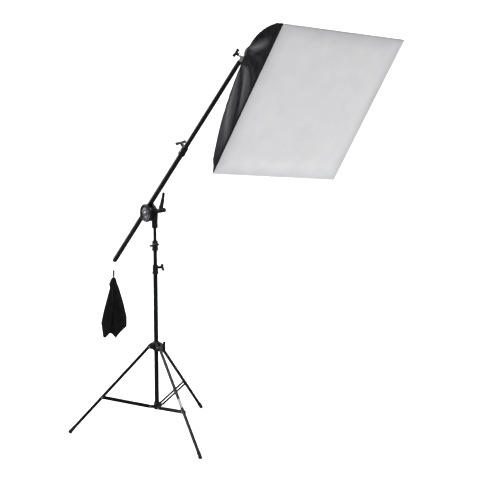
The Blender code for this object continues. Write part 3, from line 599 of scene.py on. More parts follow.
def rivet(name, place, direction, radius, height, body):
    """A domed silver rivet head."""
    profile = [(0.0, -0.0003), (radius, -0.0003), (radius, height * 0.25), (radius * 0.85, height * 0.65),
               (radius * 0.5, height * 0.92), (0.0, height)]
    matrix = axes(place, direction, Vector((0.31, 0.42, 0.85)))
    head = lathe(name, rounded(profile, 0.0002, 2), matrix, LOOKS["bright_steel"], body, 24)
    return head


def column():
    up = Vector((0.0, 0.0, 1.0))
    for node in ("base_tube", "mid_tube", "top_tube", "boom_outer_tube", "boom_inner_tube"):
        fine_tube(node)
    for index in (1, 2, 3):
        middle, direction, half, outer = fine_tube(f"leg_tube_{index}")
        foot = refined(f"leg_foot_{index}", 0.0005)
        lip = middle - direction * (half - 0.0330)
        for rib in range(3):
            centre = lip + direction * (0.0040 * rib - 0.0130)
            ring = [(0.0091, -0.0008), (0.0097, -0.0004), (0.0097, 0.0004), (0.0091, 0.0008)]
            piece = lathe(f"foot_rib_{index}_{rib + 1}", ring, axes(centre, direction, up), LOOKS["rubber_feet"],
                          f"leg_{index}", closed=True)
        if index == 2:
            label_band(middle, direction, half, outer)
        foot.name = f"fine_leg_foot_{index}"


def label_band(middle, direction, half, outer):
    """The plain foil band round one leg."""
    centre = middle - direction * (half * LABEL_PLACE)
    wall = 0.00015
    profile = [(outer + 0.00004, -LABEL_HALF), (outer + wall, -LABEL_HALF), (outer + wall, LABEL_HALF),
               (outer + 0.00004, LABEL_HALF)]
    band = lathe("blank_label_band", profile, axes(centre, direction, Vector((0.0, 0.0, 1.0))), BLANK_LABEL, "leg_2",
                 closed=True)


LABEL_PLACE = 0.01
LABEL_HALF = 0.0225


def struts_and_pins():
    for index in (1, 2, 3):
        refined(f"strut_{index}", 0.0003)
        refined(f"leg_head_{index}", 0.0007)
        refined(f"leg_pin_{index}", 0.0002)
        _, hinge = joint_place(f"strut_{index}_hinge")
        pivot = Vector(JOINTS[f"strut_{index}_hinge"]["pos_m"])
        points = points_of(f"strut_{index}")
        far = Vector(points[np.argmax(np.linalg.norm(points - np.array(pivot), axis=1))])
        run = far - pivot
        run = run - hinge * run.dot(hinge)
        tip = pivot + run.normalized() * (run.length - 0.0065)
        low, high = reach_along(f"strut_{index}", pivot, hinge)
        for label, place in (("hub", pivot), ("leg", tip)):
            for side, reach in (("a", high), ("b", -low)):
                way = hinge if side == "a" else -hinge
                rivet(f"strut_rivet_{label}_{side}_{index}", place + way * (reach - 0.0002), way, 0.0036, 0.0011,
                      f"strut_{index}")


# ---------------------------------------------------------------- wing screws

def wing_screw(node, joint_name):
    """A moulded T screw: a waisted neck, a bar with a rounded lobe at each end, and its threaded shank."""
    origin, axis = joint_place(joint_name)
    offsets = points_of(node) - np.array(origin)
    low, high = reach_along(node, origin, axis)
    offsets = offsets - np.outer(offsets @ np.array(axis), np.array(axis))
    radii = np.linalg.norm(offsets, axis=1)
    bar = float(radii.max())
    base = high - KNOB_HEIGHT
    corners = offsets[radii > bar - 0.0002]
    first = corners[0]
    bar_way = sum((corner if corner @ first > 0.0 else -corner for corner in corners), np.zeros(3))
    matrix = axes(origin + axis * base, axis, Vector(bar_way))
    body = BODY_OF[node]
    hub = [(0.0, 0.0004), (0.0080, 0.0004), (0.0085, 0.0016), (0.0076, 0.0040), (0.0066, 0.0070),
           (0.0068, 0.0100), (0.0058, 0.0125), (0.0, 0.0128)]
    piece = lathe("fine_" + node, rounded(hub, 0.0008), matrix, LOOKS["casting_black"], body)
    wings = wing_pair("bar_" + node, math.sqrt(bar * bar - 0.0050 ** 2), matrix, body)
    shank = thread("shank_" + node, 0.0026, low - base, 0.0008, matrix, body)
    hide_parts(node)


def loft(name, rings, material, body, matrix, levels=2):
    """A closed skin over rings of local points, rounded by subdivision."""
    shape = bmesh.new()
    made = [[shape.verts.new(point) for point in ring] for ring in rings]
    count = len(made[0])
    for lower, upper in zip(made, made[1:]):
        for step in range(count):
            after = (step + 1) % count
            shape.faces.new((lower[step], lower[after], upper[after], upper[step]))
    shape.faces.new(made[0][::-1])
    shape.faces.new(made[-1])
    bmesh.ops.recalc_face_normals(shape, faces=shape.faces)
    mesh = bpy.data.meshes.new(name)
    shape.to_mesh(mesh)
    shape.free()
    item = new_object(name, mesh, material, body, matrix)
    item.modifiers.new("round", "SUBSURF").levels = levels
    apply_modifiers(item)
    item.data.shade_smooth()
    return item


def wing_pair(name, bar, matrix, body):
    """The screw's bar as a lofted slab: waisted over the neck, with a fuller lobe at each end."""
    half = [(0.0, 0.0156, 0.0064, 0.0056), (0.45, 0.0158, 0.0062, 0.0050), (0.74, 0.0162, 0.0078, 0.0053),
            (0.92, 0.0163, 0.0080, 0.0050), (1.0, 0.0165, 0.0058, 0.0034)]
    stations = [(-place, *sizes) for place, *sizes in half[:0:-1]] + half
    rings = []
    for place, height, half_height, half_depth in stations:
        ring = []
        for step in range(12):
            angle = math.tau * step / 12
            z = height + half_height * math.copysign(abs(math.sin(angle)) ** 0.7, math.sin(angle))
            y = half_depth * math.copysign(abs(math.cos(angle)) ** 0.6, math.cos(angle))
            ring.append((place * bar, y, z))
        rings.append(ring)
    return loft(name, rings, LOOKS["casting_black"], body, matrix)


def thread(name, radius, low, high, matrix, body, pitch=0.0010):
    """A screw shank with a V thread, as a turned ring for each turn."""
    turns = max(2, int((high - low) / pitch))
    profile = [(0.0, low), (radius * 0.6, low)]
    for turn in range(turns):
        start = low + (high - low) * turn / turns
        profile.append((radius * 0.86, start + pitch * 0.15))
        profile.append((radius, start + pitch * 0.5))
    profile += [(radius * 0.86, high), (0.0, high)]
    return lathe(name, profile, matrix, LOOKS["bright_steel"], body, 20, degrees=20.0)


KNOBS = {
    "base_collar_knob": "base_collar_knob_turn",
    "yoke_knob": "yoke_knob_turn",
    "mid_collar_knob": "mid_collar_knob_turn",
    "socket_knob": "socket_knob_turn",
    "boom_collar_knob": "boom_collar_knob_turn",
    "holder_clamp_knob": "holder_knob_turn",
    "tilt_knob": "tilt_knob_turn",
}

# ---------------------------------------------------------------- clamp


def clamp_frame():
    """At the clamp's pivot: Z towards the boom's side along the bolt, X up."""
    origin, axis = joint_place("boom_tilt")
    return axes(origin, axis, Vector((0.0, 0.0, 1.0)))


def clamp_face(matrix):
    """The front disc's face: a raised outer rim, a satin ring with tool marks, and the bolt's head."""
    low, high = reach_along("clamp_front_disc", matrix.translation, matrix.to_3x3().col[2])
    grooves = []
    for step in range(14):
        radius = 0.0140 + 0.0014 * step / 2.0
        grooves.append((radius, high - 0.00115 - (0.00025 if step % 2 else 0.0)))
    ring = [(0.0128, high - 0.0019)] + grooves + [(0.0240, high - 0.00120), (0.0246, high - 0.0019)]
    piece = lathe("clamp_label_ring", ring, matrix, SATIN_GREY, "cradle", 96, degrees=20.0)
    hexagon = [(0.0, high + 0.0034), (0.0040, high + 0.0034), (0.0058, high + 0.0026), (0.0060, high - 0.0022),
               (0.0, high - 0.0022)]
    head = lathe("clamp_bolt_head", hexagon[::-1], matrix, LOOKS["bright_steel"], "cradle", 6, degrees=20.0)
    washer = [(0.0060, high - 0.0024), (0.0098, high - 0.0024), (0.0098, high - 0.0012), (0.0060, high - 0.0010)]
    plate = lathe("clamp_washer", washer, matrix, LOOKS["bright_steel"], "cradle", closed=True)
    for step in range(40):
        angle = math.tau * step / 40
        rib_profile(step, angle, matrix, high)


def rib_profile(step, angle, matrix, high):
    """One grip rib across the front disc's rim; the ribs are gathered into one piece afterwards."""
    RIBS.append((matrix @ Matrix.Rotation(angle, 4, "Z"), high))


RIBS = []


def grip_ribs():
    """The fine ribs round the front disc's edge, as one piece."""
    shape = bmesh.new()
    for matrix, high in RIBS:
        size = Matrix.Diagonal((0.0012, 0.0016, 0.0074, 1.0))
        place = matrix @ Matrix.Translation((0.0426, 0.0, high - 0.0055)) @ size
        bmesh.ops.create_cube(shape, size=1.0, matrix=place)
    bmesh.ops.bevel(shape, geom=shape.edges[:], offset=0.0004, segments=2, affect="EDGES")
    mesh = bpy.data.meshes.new("clamp_grip_ribs")
    shape.to_mesh(mesh)
    shape.free()
    smooth(mesh)
    piece = new_object("clamp_grip_ribs", mesh, LOOKS["casting_black"], "cradle")


def clamp_lever(matrix):
    """The lever: a round hub and a tapered arm with a bulged tip, lofted and subdivided."""
    z_axis = matrix.to_3x3().col[2]
    low, high = reach_along("clamp_lever", matrix.translation, z_axis)
    hub = [(0.0, low), (0.0085, low), (0.0110, low + 0.0035), (0.0112, high - 0.0030), (0.0095, high), (0.0046, high)]
    piece = lathe("fine_clamp_lever", rounded(hub, 0.0012), matrix, GLOSS_PLASTIC, "clamp_lever")
    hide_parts("clamp_lever")
    start, end = low + 0.0115, high - 0.0055
    stations = [(0.0040, (start + end) / 2, (end - start) / 2, 0.0070),
                (0.0180, (start + end) / 2 - 0.0010, (end - start) / 2 * 0.94, 0.0068),
                (0.0380, low + 0.0172, 0.0116, 0.0062), (0.0560, low + 0.0132, 0.0092, 0.0057),
                (0.0680, low + 0.0108, 0.0079, 0.0060), (0.0760, low + 0.0092, 0.0080, 0.0068),
                (0.0825, low + 0.0086, 0.0076, 0.0064), (0.0862, low + 0.0084, 0.0050, 0.0044)]
    rings = []
    for height, middle, half_width, half_depth in stations:
        turns = [math.tau * step / 16 for step in range(16)]
        rings.append([(height, half_depth * math.cos(a), middle + half_width * math.sin(a)) for a in turns])
    arm = loft("clamp_lever_arm", rings, GLOSS_PLASTIC, "clamp_lever", matrix)


def castings():
    for node in ("base_collar", "mid_collar", "strut_hub", "yoke", "clamp_socket", "clamp_saddle", "boom_collar",
                 "boom_end_cap", "holder_clamp", "tilt_bracket", "holder_ring"):
        refined(node, 0.0008)
    refined("clamp_front_disc", 0.0010, GLOSS_PLASTIC)
    refined("boom_spigot", 0.0004)
    for node in ("clamp_bolt", "rod_1", "rod_2", "rod_3", "rod_4", "bulb", "lamp_socket"):
        NODES[node].data.materials.clear()
        NODES[node].data.materials.append(LOOKS[SLOT_OF[node]])
        smooth(NODES[node].data)


def clamp_screws():
    """Small silver screws on the boom's collar, and round heads on the tilt joint."""
    origin, axis = joint_place("tilt_knob_turn")
    low, high = reach_along("tilt_knob", origin, axis)
    near, far = reach_along("tilt_bracket", origin, axis)
    rivet("tilt_screw_head", origin + axis * (near + 0.0001), -axis, 0.0062, 0.0030, "tilt_knob")
    slide = Vector(JOINTS["boom_slide"]["axis"]).normalized()
    knob, knob_axis = joint_place("boom_collar_knob_turn")
    side = slide.cross(knob_axis).normalized()
    for index, way in enumerate((-1.0, 1.0)):
        place = knob - slide * 0.0 + side * way * 0.0150 + slide * 0.0140
        rivet(f"collar_screw_{index + 1}", place, side * way, 0.0030, 0.0014, "boom")


# ---------------------------------------------------------------- ring, hook, strap

def ring_and_hook():
    eye, swing = joint_place("ring_swing")
    hang, _ = joint_place("bag_swing")
    gate, gate_axis = joint_place("hook_gate_open")
    up = Vector((0.0, 0.0, 1.0))
    heading = up.cross(-swing).normalized() * -1.0
    low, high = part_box("hang_ring")
    radius = (high.z - low.z) / 2.0 - 0.0012
    centre = Vector(((low.x + high.x) / 2, (low.y + high.y) / 2, (low.z + high.z) / 2))
    flat = axes(centre, up, swing)
    path = arc_points(flat, (0.0, 0.0), radius, 0.0, 360.0, 48)[:-1]
    ring = swept("fine_hang_ring", path, 0.0012, WIRE_STEEL, "hang_ring", closed=True)
    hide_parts("hang_ring")
    refined("snap_hook", 0.0001, WIRE_STEEL)
    refined("hook_gate", 0.0001, WIRE_STEEL)
    low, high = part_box("bag_strap")
    middle = Vector(((low.x + high.x) / 2, (low.y + high.y) / 2, 0.0))
    across = -swing if swing.x < 0 else swing
    strap(middle, low.z, high.z, across)


def strap(middle, low, high, across):
    """A folded webbing loop from the hook down to the bag."""
    width, half_gap = 0.0098, 0.0028
    depth = Vector((0.0, 0.0, 1.0)).cross(across).normalized()
    shape = bmesh.new()
    outline = []
    top = high - half_gap - 0.0008
    for step in range(13):
        angle = math.pi * step / 12
        outline.append((half_gap * math.cos(angle), top + half_gap * math.sin(angle)))
    left = [(-half_gap * (1.0 - 0.55 * share), top + (low - top) * share) for share in (0.25, 0.5, 0.75, 1.0)]
    right = [(half_gap * (1.0 - 0.55 * share), top + (low - top) * share) for share in (1.0, 0.75, 0.5, 0.25)]
    line = right + outline + left
    rows = []
    for column in range(5):
        side = (column / 4.0 - 0.5) * width
        rows.append([shape.verts.new(middle + depth * x + across * side + Vector((0.0, 0.0, z))) for x, z in line])
    for before, after in zip(rows, rows[1:]):
        for index in range(len(line) - 1):
            shape.faces.new((before[index], before[index + 1], after[index + 1], after[index]))
    bmesh.ops.recalc_face_normals(shape, faces=shape.faces)
    mesh = bpy.data.meshes.new("webbing_loop")
    shape.to_mesh(mesh)
    shape.free()
    item = new_object("webbing_loop", mesh, WEBBING, "bag")
    solid = item.modifiers.new("thickness", "SOLIDIFY")
    solid.thickness = 0.0011
    solid.offset = 0.0
    item.modifiers.new("round", "SUBSURF").levels = 2
    apply_modifiers(item)
    item.data.shade_smooth()
    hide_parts("bag_strap")


# ---------------------------------------------------------------- cloth simulation

def simulate_cloth(item, pinned, frames=CLOTH_FRAMES, stiffness=15.0, bending=0.8, gravity=1.0, pressure=0.0,
                   cap=0.012, mass=0.15):
    """Drapes a mesh with its pinned vertices held, and caps how far any point may move."""
    start = np.empty(len(item.data.vertices) * 3)
    item.data.vertices.foreach_get("co", start)
    start = start.reshape(-1, 3)
    group = item.vertex_groups.new(name="pin")
    for index, weight in pinned.items():
        group.add([index], weight, "REPLACE")
    cloth = item.modifiers.new("cloth", "CLOTH")
    settings = cloth.settings
    settings.quality = 6
    settings.mass = mass
    settings.tension_stiffness = stiffness
    settings.compression_stiffness = stiffness
    settings.shear_stiffness = stiffness * 0.4
    settings.bending_stiffness = bending
    settings.air_damping = 2.0
    settings.vertex_group_mass = "pin"
    settings.effector_weights.gravity = gravity
    if pressure:
        settings.use_pressure = True
        settings.uniform_pressure_force = pressure
    cloth.collision_settings.use_collision = False
    cloth.collision_settings.use_self_collision = False
    cloth.point_cache.frame_start = 1
    cloth.point_cache.frame_end = frames
    for step in range(1, frames + 1):
        bpy.context.scene.frame_set(step)
    apply_modifiers(item)
    bpy.context.scene.frame_set(1)
    end = np.empty(len(item.data.vertices) * 3)
    item.data.vertices.foreach_get("co", end)
    shift = end.reshape(-1, 3) - start
    length = np.linalg.norm(shift, axis=1, keepdims=True)
    shift *= np.minimum(1.0, cap / np.maximum(length, 1e-9))
    item.data.vertices.foreach_set("co", (start + shift).ravel())
    item.data.update()
    item.vertex_groups.clear()


# ---------------------------------------------------------------- softbox

def softbox_frame():
    """At the lamp's pivot: Z out along the lamp's axis, X and Y along the face's sides."""
    origin, axis = joint_place("softbox_roll")
    points = points_of("diffuser")
    along = (points - np.array(origin)) @ np.array(axis)
    face = points[along > along.mean()]
    corners = []
    for point in face:
        if not any(np.linalg.norm(point - other) < 0.01 for other in corners):
            corners.append(point)
    first = corners[0]
    others = sorted(corners[1:], key=lambda point: np.linalg.norm(point - first))
    sides = [Vector(others[0] - first), Vector(others[1] - first)]
    sides = [side if side.x > 0 else -side for side in sides]
    right = max(sides, key=lambda side: side.x)
    return axes(origin, axis, right), float(along.min()), float(along.max()), right.length / 2.0


def panel_profile(node, matrix, angle):
    """(height along the lamp's axis, distance from it) down the middle of a CAD side panel, rear to front."""
    local = (matrix @ Matrix.Rotation(angle, 4, "Z")).inverted()
    rows = {}
    for point in points_of(node):
        place = local @ Vector(point)
        rows.setdefault(round(place.x, 4), []).append(place)
    outer = {}
    for point in points_of(node):
        place = local @ Vector(point)
        key = round(place.z, 3)
        outer[key] = max(outer.get(key, 0.0), place.x)
    front = max(outer)
    return sorted((height, reach) for height, reach in outer.items() if not 0.002 < front - height < 0.020)


def line_between(knots, value):
    """Straight runs between knots (place, depth), with their corners kept."""
    places, depths = zip(*sorted(knots))
    return float(np.interp(value, places, depths))


def fold_depth(across, along, seed):
    """How far a side panel lies inside its seams, as a share of its deepest fold, and how much painted sheen the cloth
    gets.

    A valley runs from the ring's lower corner to the middle of the hem, and a tuck fans out from the ring.
    """
    envelope = math.sin(math.pi * along) ** 0.55
    valley = 0.065 - 1.06 * math.exp(-along / 0.11) + 0.04 * math.sin(2.0 * seed)
    close = min(1.0, along / 0.86)
    tuck = max(0.0, 1.0 - close) ** 0.8
    upper, lower = 0.72 + 0.20 * tuck, 0.72 - 0.46 * tuck
    valley = min(valley, lower - 0.10)
    deep = min(1.0, (valley + 1.0) / 0.40)
    knots = [(-1.0, 0.0), (valley, deep), (lower, 0.42 - 0.30 * tuck), (upper + 0.02, 0.42 + 0.42 * tuck), (1.0, 0.0)]
    dip = line_between(knots, across)
    # Painted sheen: the tuck band, the facet below the valley, the crease ridges and the tuck at the ring are made
    # paler, as if lit from above.
    painted_sheen = 0.10 if lower < across < upper else 0.0
    share = (across + 1.0) / max(0.05, valley + 1.0)
    if share < 1.0:
        painted_sheen = 0.22 * min(1.0, (1.0 - share) / 0.08)
        for place, height in ((0.30, 0.16), (0.55, -0.14), (0.78, 0.10)):
            wander = place + 0.06 * math.sin(5.0 * along + 9.0 * place + seed)
            crease = math.exp(-((share - wander) / 0.085) ** 2)
            dip -= height * deep * crease
            painted_sheen += 2.6 * height * crease
    for ray, height in ((0.12, 0.07), (0.45, 0.06), (0.62, -0.05)):
        line = valley + (0.9 - valley) * ray + 0.012 * math.sin(7.0 * along + 4.0 * ray + seed)
        crease = math.exp(-((across - line) / 0.045) ** 2)
        dip += height * crease
        painted_sheen += 1.2 * height * crease
    tucked = tuck * max(0.0, 1.0 - abs(across - (lower + upper) / 2.0) / 0.16)
    painted_sheen += 0.9 * tucked
    return envelope * dip, max(0.0, min(1.0, painted_sheen)) * envelope


def side_panel(side, angle, matrix, seed, depth):
    """One side of the box as draped cloth: taut at its seams, creased between them."""
    node = "shell_" + side
    outline = panel_profile(node, matrix, angle)
    heights = np.array([height for height, _ in outline])
    reaches = np.array([reach for _, reach in outline])
    front, rear = heights.max(), heights.min()
    frame_here = matrix @ Matrix.Rotation(angle, 4, "Z")
    shape = bmesh.new()
    uv_layer = shape.loops.layers.uv.new("UVMap")
    # Painted sheen for each point, which the nylon material turns into a paler colour.
    painted_sheen_layer = shape.verts.layers.float.new("painted_sheen")
    grid, places, held, vert_count = [], {}, [], 0
    hem_start = front - HEM_DEPTH
    levels = [rear + (hem_start - rear) * row / (PANEL_ROWS - 3) for row in range(PANEL_ROWS - 2)]
    levels += [hem_start + HEM_DEPTH * 0.5, front]
    for level in levels:
        reach = float(np.interp(level, heights, reaches))
        along = (level - rear) / (hem_start - rear)
        row = []
        for column in range(PANEL_COLUMNS + 1):
            across = 2.0 * column / PANEL_COLUMNS - 1.0
            fold, painted_sheen = fold_depth(-across, along, seed) if 0.0 < along < 1.0 else (0.0, 0.0)
            dip = depth * fold
            tiny = 0.0012 * noise.noise(Vector((across * 5.0 + seed, along * 6.0, seed))) * (1.0 - across ** 4)
            dip += tiny if 0.0 < along < 1.0 else 0.0
            clear = (1.0 - abs(across)) * reach - ROD_MARGIN
            dip *= max(0.0, min(1.0, clear / (2.0 * ROD_MARGIN)))
            if clear < 0.001:
                held.append(vert_count)
            vert_count += 1
            place = Vector((reach - dip - CLOTH_THICKNESS * 0.5, across * (reach - 0.0010), level))
            vert = shape.verts.new(place)
            vert[painted_sheen_layer] = painted_sheen
            places[vert] = (across * reach, level)
            row.append(vert)
        grid.append(row)
    for lower, upper in zip(grid, grid[1:]):
        for column in range(PANEL_COLUMNS):
            face = shape.faces.new((lower[column], lower[column + 1], upper[column + 1], upper[column]))
            for loop in face.loops:
                loop[uv_layer].uv = places[loop.vert]
    shape.verts.index_update()
    pinned = {vert.index: 1.0 for row in (grid[0], *grid[-3:]) for vert in row}
    pinned.update({index: 1.0 for index in held})
    mesh = bpy.data.meshes.new("panel_" + side)
    shape.to_mesh(mesh)
    shape.free()
    mesh.transform(frame_here)
    item = bpy.data.objects.new("panel_" + side, mesh)
    item.data.materials.append(SOFTBOX_NYLON)
    item.data.materials.append(SILVER_LINING)
    bpy.context.scene.collection.objects.link(item)
    simulate_cloth(item, pinned, cap=0.004)
    solid = item.modifiers.new("thickness", "SOLIDIFY")
    solid.thickness = CLOTH_THICKNESS
    solid.offset = 0.0
    solid.material_offset = 1
    apply_modifiers(item)
    orient_outward(item, frame_here)
    item.data.shade_smooth()
    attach(item, "softbox")
    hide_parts(node)
    return outline


def orient_outward(item, frame_here):
    """The black face outside and the silver one inside, whichever way the grid was wound."""
    outward = frame_here.to_3x3().col[0]
    mesh = item.data
    facing = [face.normal.dot(outward) for face in mesh.polygons]
    depth = [face.center.dot(outward) for face in mesh.polygons]
    ahead = [place for place, way in zip(depth, facing) if way > 0.0]
    behind = [place for place, way in zip(depth, facing) if way <= 0.0]
    hand = 1.0 if sum(ahead) / len(ahead) > sum(behind) / len(behind) else -1.0
    for face, way in zip(mesh.polygons, facing):
        face.material_index = 0 if way * hand > -0.2 else 1


def corner_seams(matrix, outline):
    """The piped seam along each corner."""
    for index in range(4):
        turn = matrix @ Matrix.Rotation(math.radians(45.0 + 90.0 * index), 4, "Z")
        path = [turn @ Vector((reach * math.sqrt(2.0) - 0.0022, 0.0, height)) for height, reach in outline]
        path = [path[0].lerp(path[1], share) for share in (0.0, 0.5)] + path[1:]
        seam = swept(f"corner_seam_{index + 1}", path, 0.0011, EDGE_TAPE, "softbox")


def hem_band(matrix, front, half, flare):
    """The doubled binding round the front edge."""
    shape = bmesh.new()
    uv_layer = shape.loops.layers.uv.new("UVMap")
    profile = [(0.0010, -HEM_DEPTH), (0.0019, -HEM_DEPTH + 0.0012), (0.0021, -0.0060), (0.0019, -0.0030),
               (0.0013, -0.0012), (0.0004, -0.0008)]
    steps = 40
    around = []
    for side in range(4):
        turn = Matrix.Rotation(math.radians(90.0 * side), 4, "Z")
        for step in range(steps):
            share = 2.0 * step / steps - 1.0
            around.append((turn, share))
    rings = []
    for turn, share in around:
        ring = []
        pucker = 0.0003 * math.sin(share * 60.0) * (1.0 - share ** 8)
        for offset, depth in profile:
            reach = half + offset + pucker + flare * (depth + 0.0006)
            ring.append(shape.verts.new(turn @ Vector((reach, share * reach, front + depth))))
        rings.append(ring)
    total = len(rings)
    for index, ring in enumerate(rings):
        after = rings[(index + 1) % total]
        for step in range(len(profile) - 1):
            face = shape.faces.new((ring[step], ring[step + 1], after[step + 1], after[step]))
            for loop, (u, v) in zip(face.loops, ((0, step), (0, step + 1), (1, step + 1), (1, step))):
                loop[uv_layer].uv = ((index + u) * 2.0 * half / steps, v * 0.003)
    bmesh.ops.recalc_face_normals(shape, faces=shape.faces)
    mesh = bpy.data.meshes.new("hem_binding")
    shape.to_mesh(mesh)
    shape.free()
    item = new_object("hem_binding", mesh, EDGE_TAPE, "softbox", matrix)
    solid = item.modifiers.new("thickness", "SOLIDIFY")
    solid.thickness = 0.0005
    apply_modifiers(item)
    item.data.shade_smooth()


def diffuser(matrix, back, front, half):
    """The white face: a square of cloth held by its hem, with soft puckers that fade to the middle."""
    count = 96
    shape = bmesh.new()
    uv_layer = shape.loops.layers.uv.new("UVMap")
    grid = []
    reach = half + 0.0012
    for row in range(count + 1):
        line = []
        for column in range(count + 1):
            x = (2.0 * column / count - 1.0) * reach
            y = (2.0 * row / count - 1.0) * reach
            edge = min(reach - abs(x), reach - abs(y))
            pucker = math.exp(-edge / 0.035) * (1.0 - math.exp(-edge / 0.006))
            along = y if abs(x) > abs(y) else x
            ripple = math.sin(along * 95.0 + 2.0 * math.sin(along * 23.0)) * 0.0011
            wander = noise.noise(Vector((x * 5.5, y * 5.5, 2.7))) * 0.0022 * min(1.0, edge / 0.08)
            z = front - 0.0003 + ripple * pucker + wander
            line.append(shape.verts.new((x, y, z)))
        grid.append(line)
    for lower, upper in zip(grid, grid[1:]):
        for column in range(count):
            face = shape.faces.new((lower[column], lower[column + 1], upper[column + 1], upper[column]))
            for loop in face.loops:
                loop[uv_layer].uv = (loop.vert.co.x, loop.vert.co.y)
    shape.verts.index_update()
    pinned = {vert.index: 1.0 for line in (grid[0], grid[-1]) for vert in line}
    pinned.update({line[index].index: 1.0 for line in grid for index in (0, -1)})
    mesh = bpy.data.meshes.new("diffuser_sheet")
    shape.to_mesh(mesh)
    shape.free()
    mesh.transform(matrix)
    item = bpy.data.objects.new("diffuser_sheet", mesh)
    item.data.materials.append(LOOKS["white_diffuser"])
    bpy.context.scene.collection.objects.link(item)
    simulate_cloth(item, pinned, frames=14, stiffness=25.0, bending=1.5, gravity=0.35, cap=0.006, mass=0.1)
    solid = item.modifiers.new("thickness", "SOLIDIFY")
    solid.thickness = CLOTH_THICKNESS
    apply_modifiers(item)
    item.data.shade_smooth()
    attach(item, "softbox")
    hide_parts("diffuser")


def softbox():
    matrix, back, front, half = softbox_frame()
    sides = (("right", 0.0, 0.4, 0.030), ("top", 90.0, 1.3, 0.026), ("left", 180.0, 0.0, 0.036),
             ("bottom", 270.0, 2.2, 0.030))
    for side, angle, seed, depth in sides:
        outline = side_panel(side, math.radians(angle), matrix, seed, depth)
    corner_seams(matrix, outline)
    (rear_height, rear_reach), (front_height, front_reach) = outline[-2:]
    hem_band(matrix, front, half, (front_reach - rear_reach) / (front_height - rear_height))
    diffuser(matrix, back, front, half)


# ---------------------------------------------------------------- counterweight bag

BAG_LEFT = ((0.0, -0.008), (0.10, -0.028), (0.16, -0.023), (0.36, -0.041), (0.55, -0.057), (0.73, -0.070),
            (0.99, -0.060), (1.0, -0.060))
BAG_RIGHT = ((0.0, 0.008), (0.15, 0.027), (0.40, 0.049), (0.64, 0.065), (0.79, 0.064), (1.0, 0.056))
BAG_BOTTOM = ((-1.0, 0.975), (-0.80, 0.985), (-0.28, 0.885), (0.14, 1.0), (0.50, 0.900), (1.0, 0.790))
BAG_FOLDS = ((-0.72, 0.0045), (-0.38, -0.0055), (-0.05, 0.0060), (0.33, -0.0060), (0.60, 0.0055), (0.86, -0.0030))


def between(table, value):
    places, values = zip(*table)
    return float(np.interp(value, places, values))


def bag():
    """The limp counterweight bag: two faces of cloth gathered at the strap, folded and drooping to points."""
    low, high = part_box("sandbag")
    drop = high.z - low.z
    depth = (high.y - low.y) / 2.0
    middle_x = low.x + 0.067
    middle_y = (low.y + high.y) / 2.0
    columns, rows = 56, 72
    shape = bmesh.new()
    uv_layer = shape.loops.layers.uv.new("UVMap")
    sheets = []
    for face_side in (-1.0, 1.0):
        grid = []
        for row in range(rows + 1):
            share = row / rows
            line = []
            for column in range(columns + 1):
                across = 2.0 * column / columns - 1.0
                down = share * between(BAG_BOTTOM, across)
                left, right = between(BAG_LEFT, down), between(BAG_RIGHT, down)
                x = left + (right - left) * (across + 1.0) / 2.0
                body = math.sqrt(max(0.0, 1.0 - across * across))
                swell = 0.16 + 0.84 * math.sin(math.pi * min(1.0, down * 0.92 + 0.05)) ** 0.9
                close = min(1.0, (1.0 - share) / 0.10) ** 0.5
                y = face_side * depth * 0.80 * body * swell * close
                for place, height in BAG_FOLDS:
                    line_x = place * (0.35 + 0.65 * down) + 0.07 * math.sin(7.0 * down + 5.0 * place)
                    y += height * math.exp(-((across - line_x) / 0.13) ** 2) * min(1.0, down * 3.0) * (0.4 + 0.6 * close)
                y += 0.0030 * noise.noise(Vector((across * 2.6, down * 7.0, face_side * 3.0))) * body
                line.append(shape.verts.new((middle_x + x, middle_y + y, high.z - down * drop)))
            grid.append(line)
        sheets.append(grid)
    for face_side, grid in enumerate(sheets):
        for lower, upper in zip(grid, grid[1:]):
            for column in range(columns):
                corners = [lower[column], lower[column + 1], upper[column + 1], upper[column]]
                face = shape.faces.new(corners if face_side else corners[::-1])
                for loop in face.loops:
                    loop[uv_layer].uv = (loop.vert.co.x, loop.vert.co.z)
    front_grid, back_grid = sheets
    for first, second in zip(front_grid, back_grid):
        for index in (0, -1):
            bmesh.ops.pointmerge(shape, verts=[first[index], second[index]], merge_co=first[index].co.lerp(second[index].co, 0.5))
    bmesh.ops.remove_doubles(shape, verts=shape.verts, dist=0.0004)
    edges = [edge for edge in shape.edges if len(edge.link_faces) == 1]
    if edges:
        bmesh.ops.holes_fill(shape, edges=edges, sides=0)
    bmesh.ops.recalc_face_normals(shape, faces=shape.faces)
    shape.verts.index_update()
    pinned = {vert.index: 1.0 for vert in shape.verts if high.z - vert.co.z < 0.05 * drop}
    mesh = bpy.data.meshes.new("counterweight_bag")
    shape.to_mesh(mesh)
    shape.free()
    item = bpy.data.objects.new("counterweight_bag", mesh)
    item.data.materials.append(LOOKS["black_nylon"])
    bpy.context.scene.collection.objects.link(item)
    simulate_cloth(item, pinned, frames=16, stiffness=20.0, bending=0.3, gravity=0.5, pressure=0.4, cap=0.003, mass=0.2)
    item.modifiers.new("round", "SUBSURF").levels = 1
    apply_modifiers(item)
    item.data.shade_smooth()
    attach(item, "bag")
    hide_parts("sandbag")


# ---------------------------------------------------------------- camera, light and floor

CAMERA_FROM_COLUMN = Vector((0.2565, -7.8713, 2.8103))
CAMERA_PITCH = 0.2312
CAMERA_YAW = 0.0184
CAMERA_LENS = 128.4


def camera():
    column_foot, _ = joint_place("clamp_pan")
    eye = Vector((column_foot.x, column_foot.y, 0.0)) + CAMERA_FROM_COLUMN
    forward = Vector((math.sin(CAMERA_YAW) * math.cos(CAMERA_PITCH), math.cos(CAMERA_YAW) * math.cos(CAMERA_PITCH),
                      -math.sin(CAMERA_PITCH)))
    data = bpy.data.cameras.new("camera")
    data.sensor_width = 36.0
    data.lens = CAMERA_LENS
    item = bpy.data.objects.new("camera", data)
    item.location = eye
    item.rotation_euler = forward.to_track_quat("-Z", "Y").to_euler()
    bpy.context.scene.collection.objects.link(item)
    bpy.context.scene.camera = item


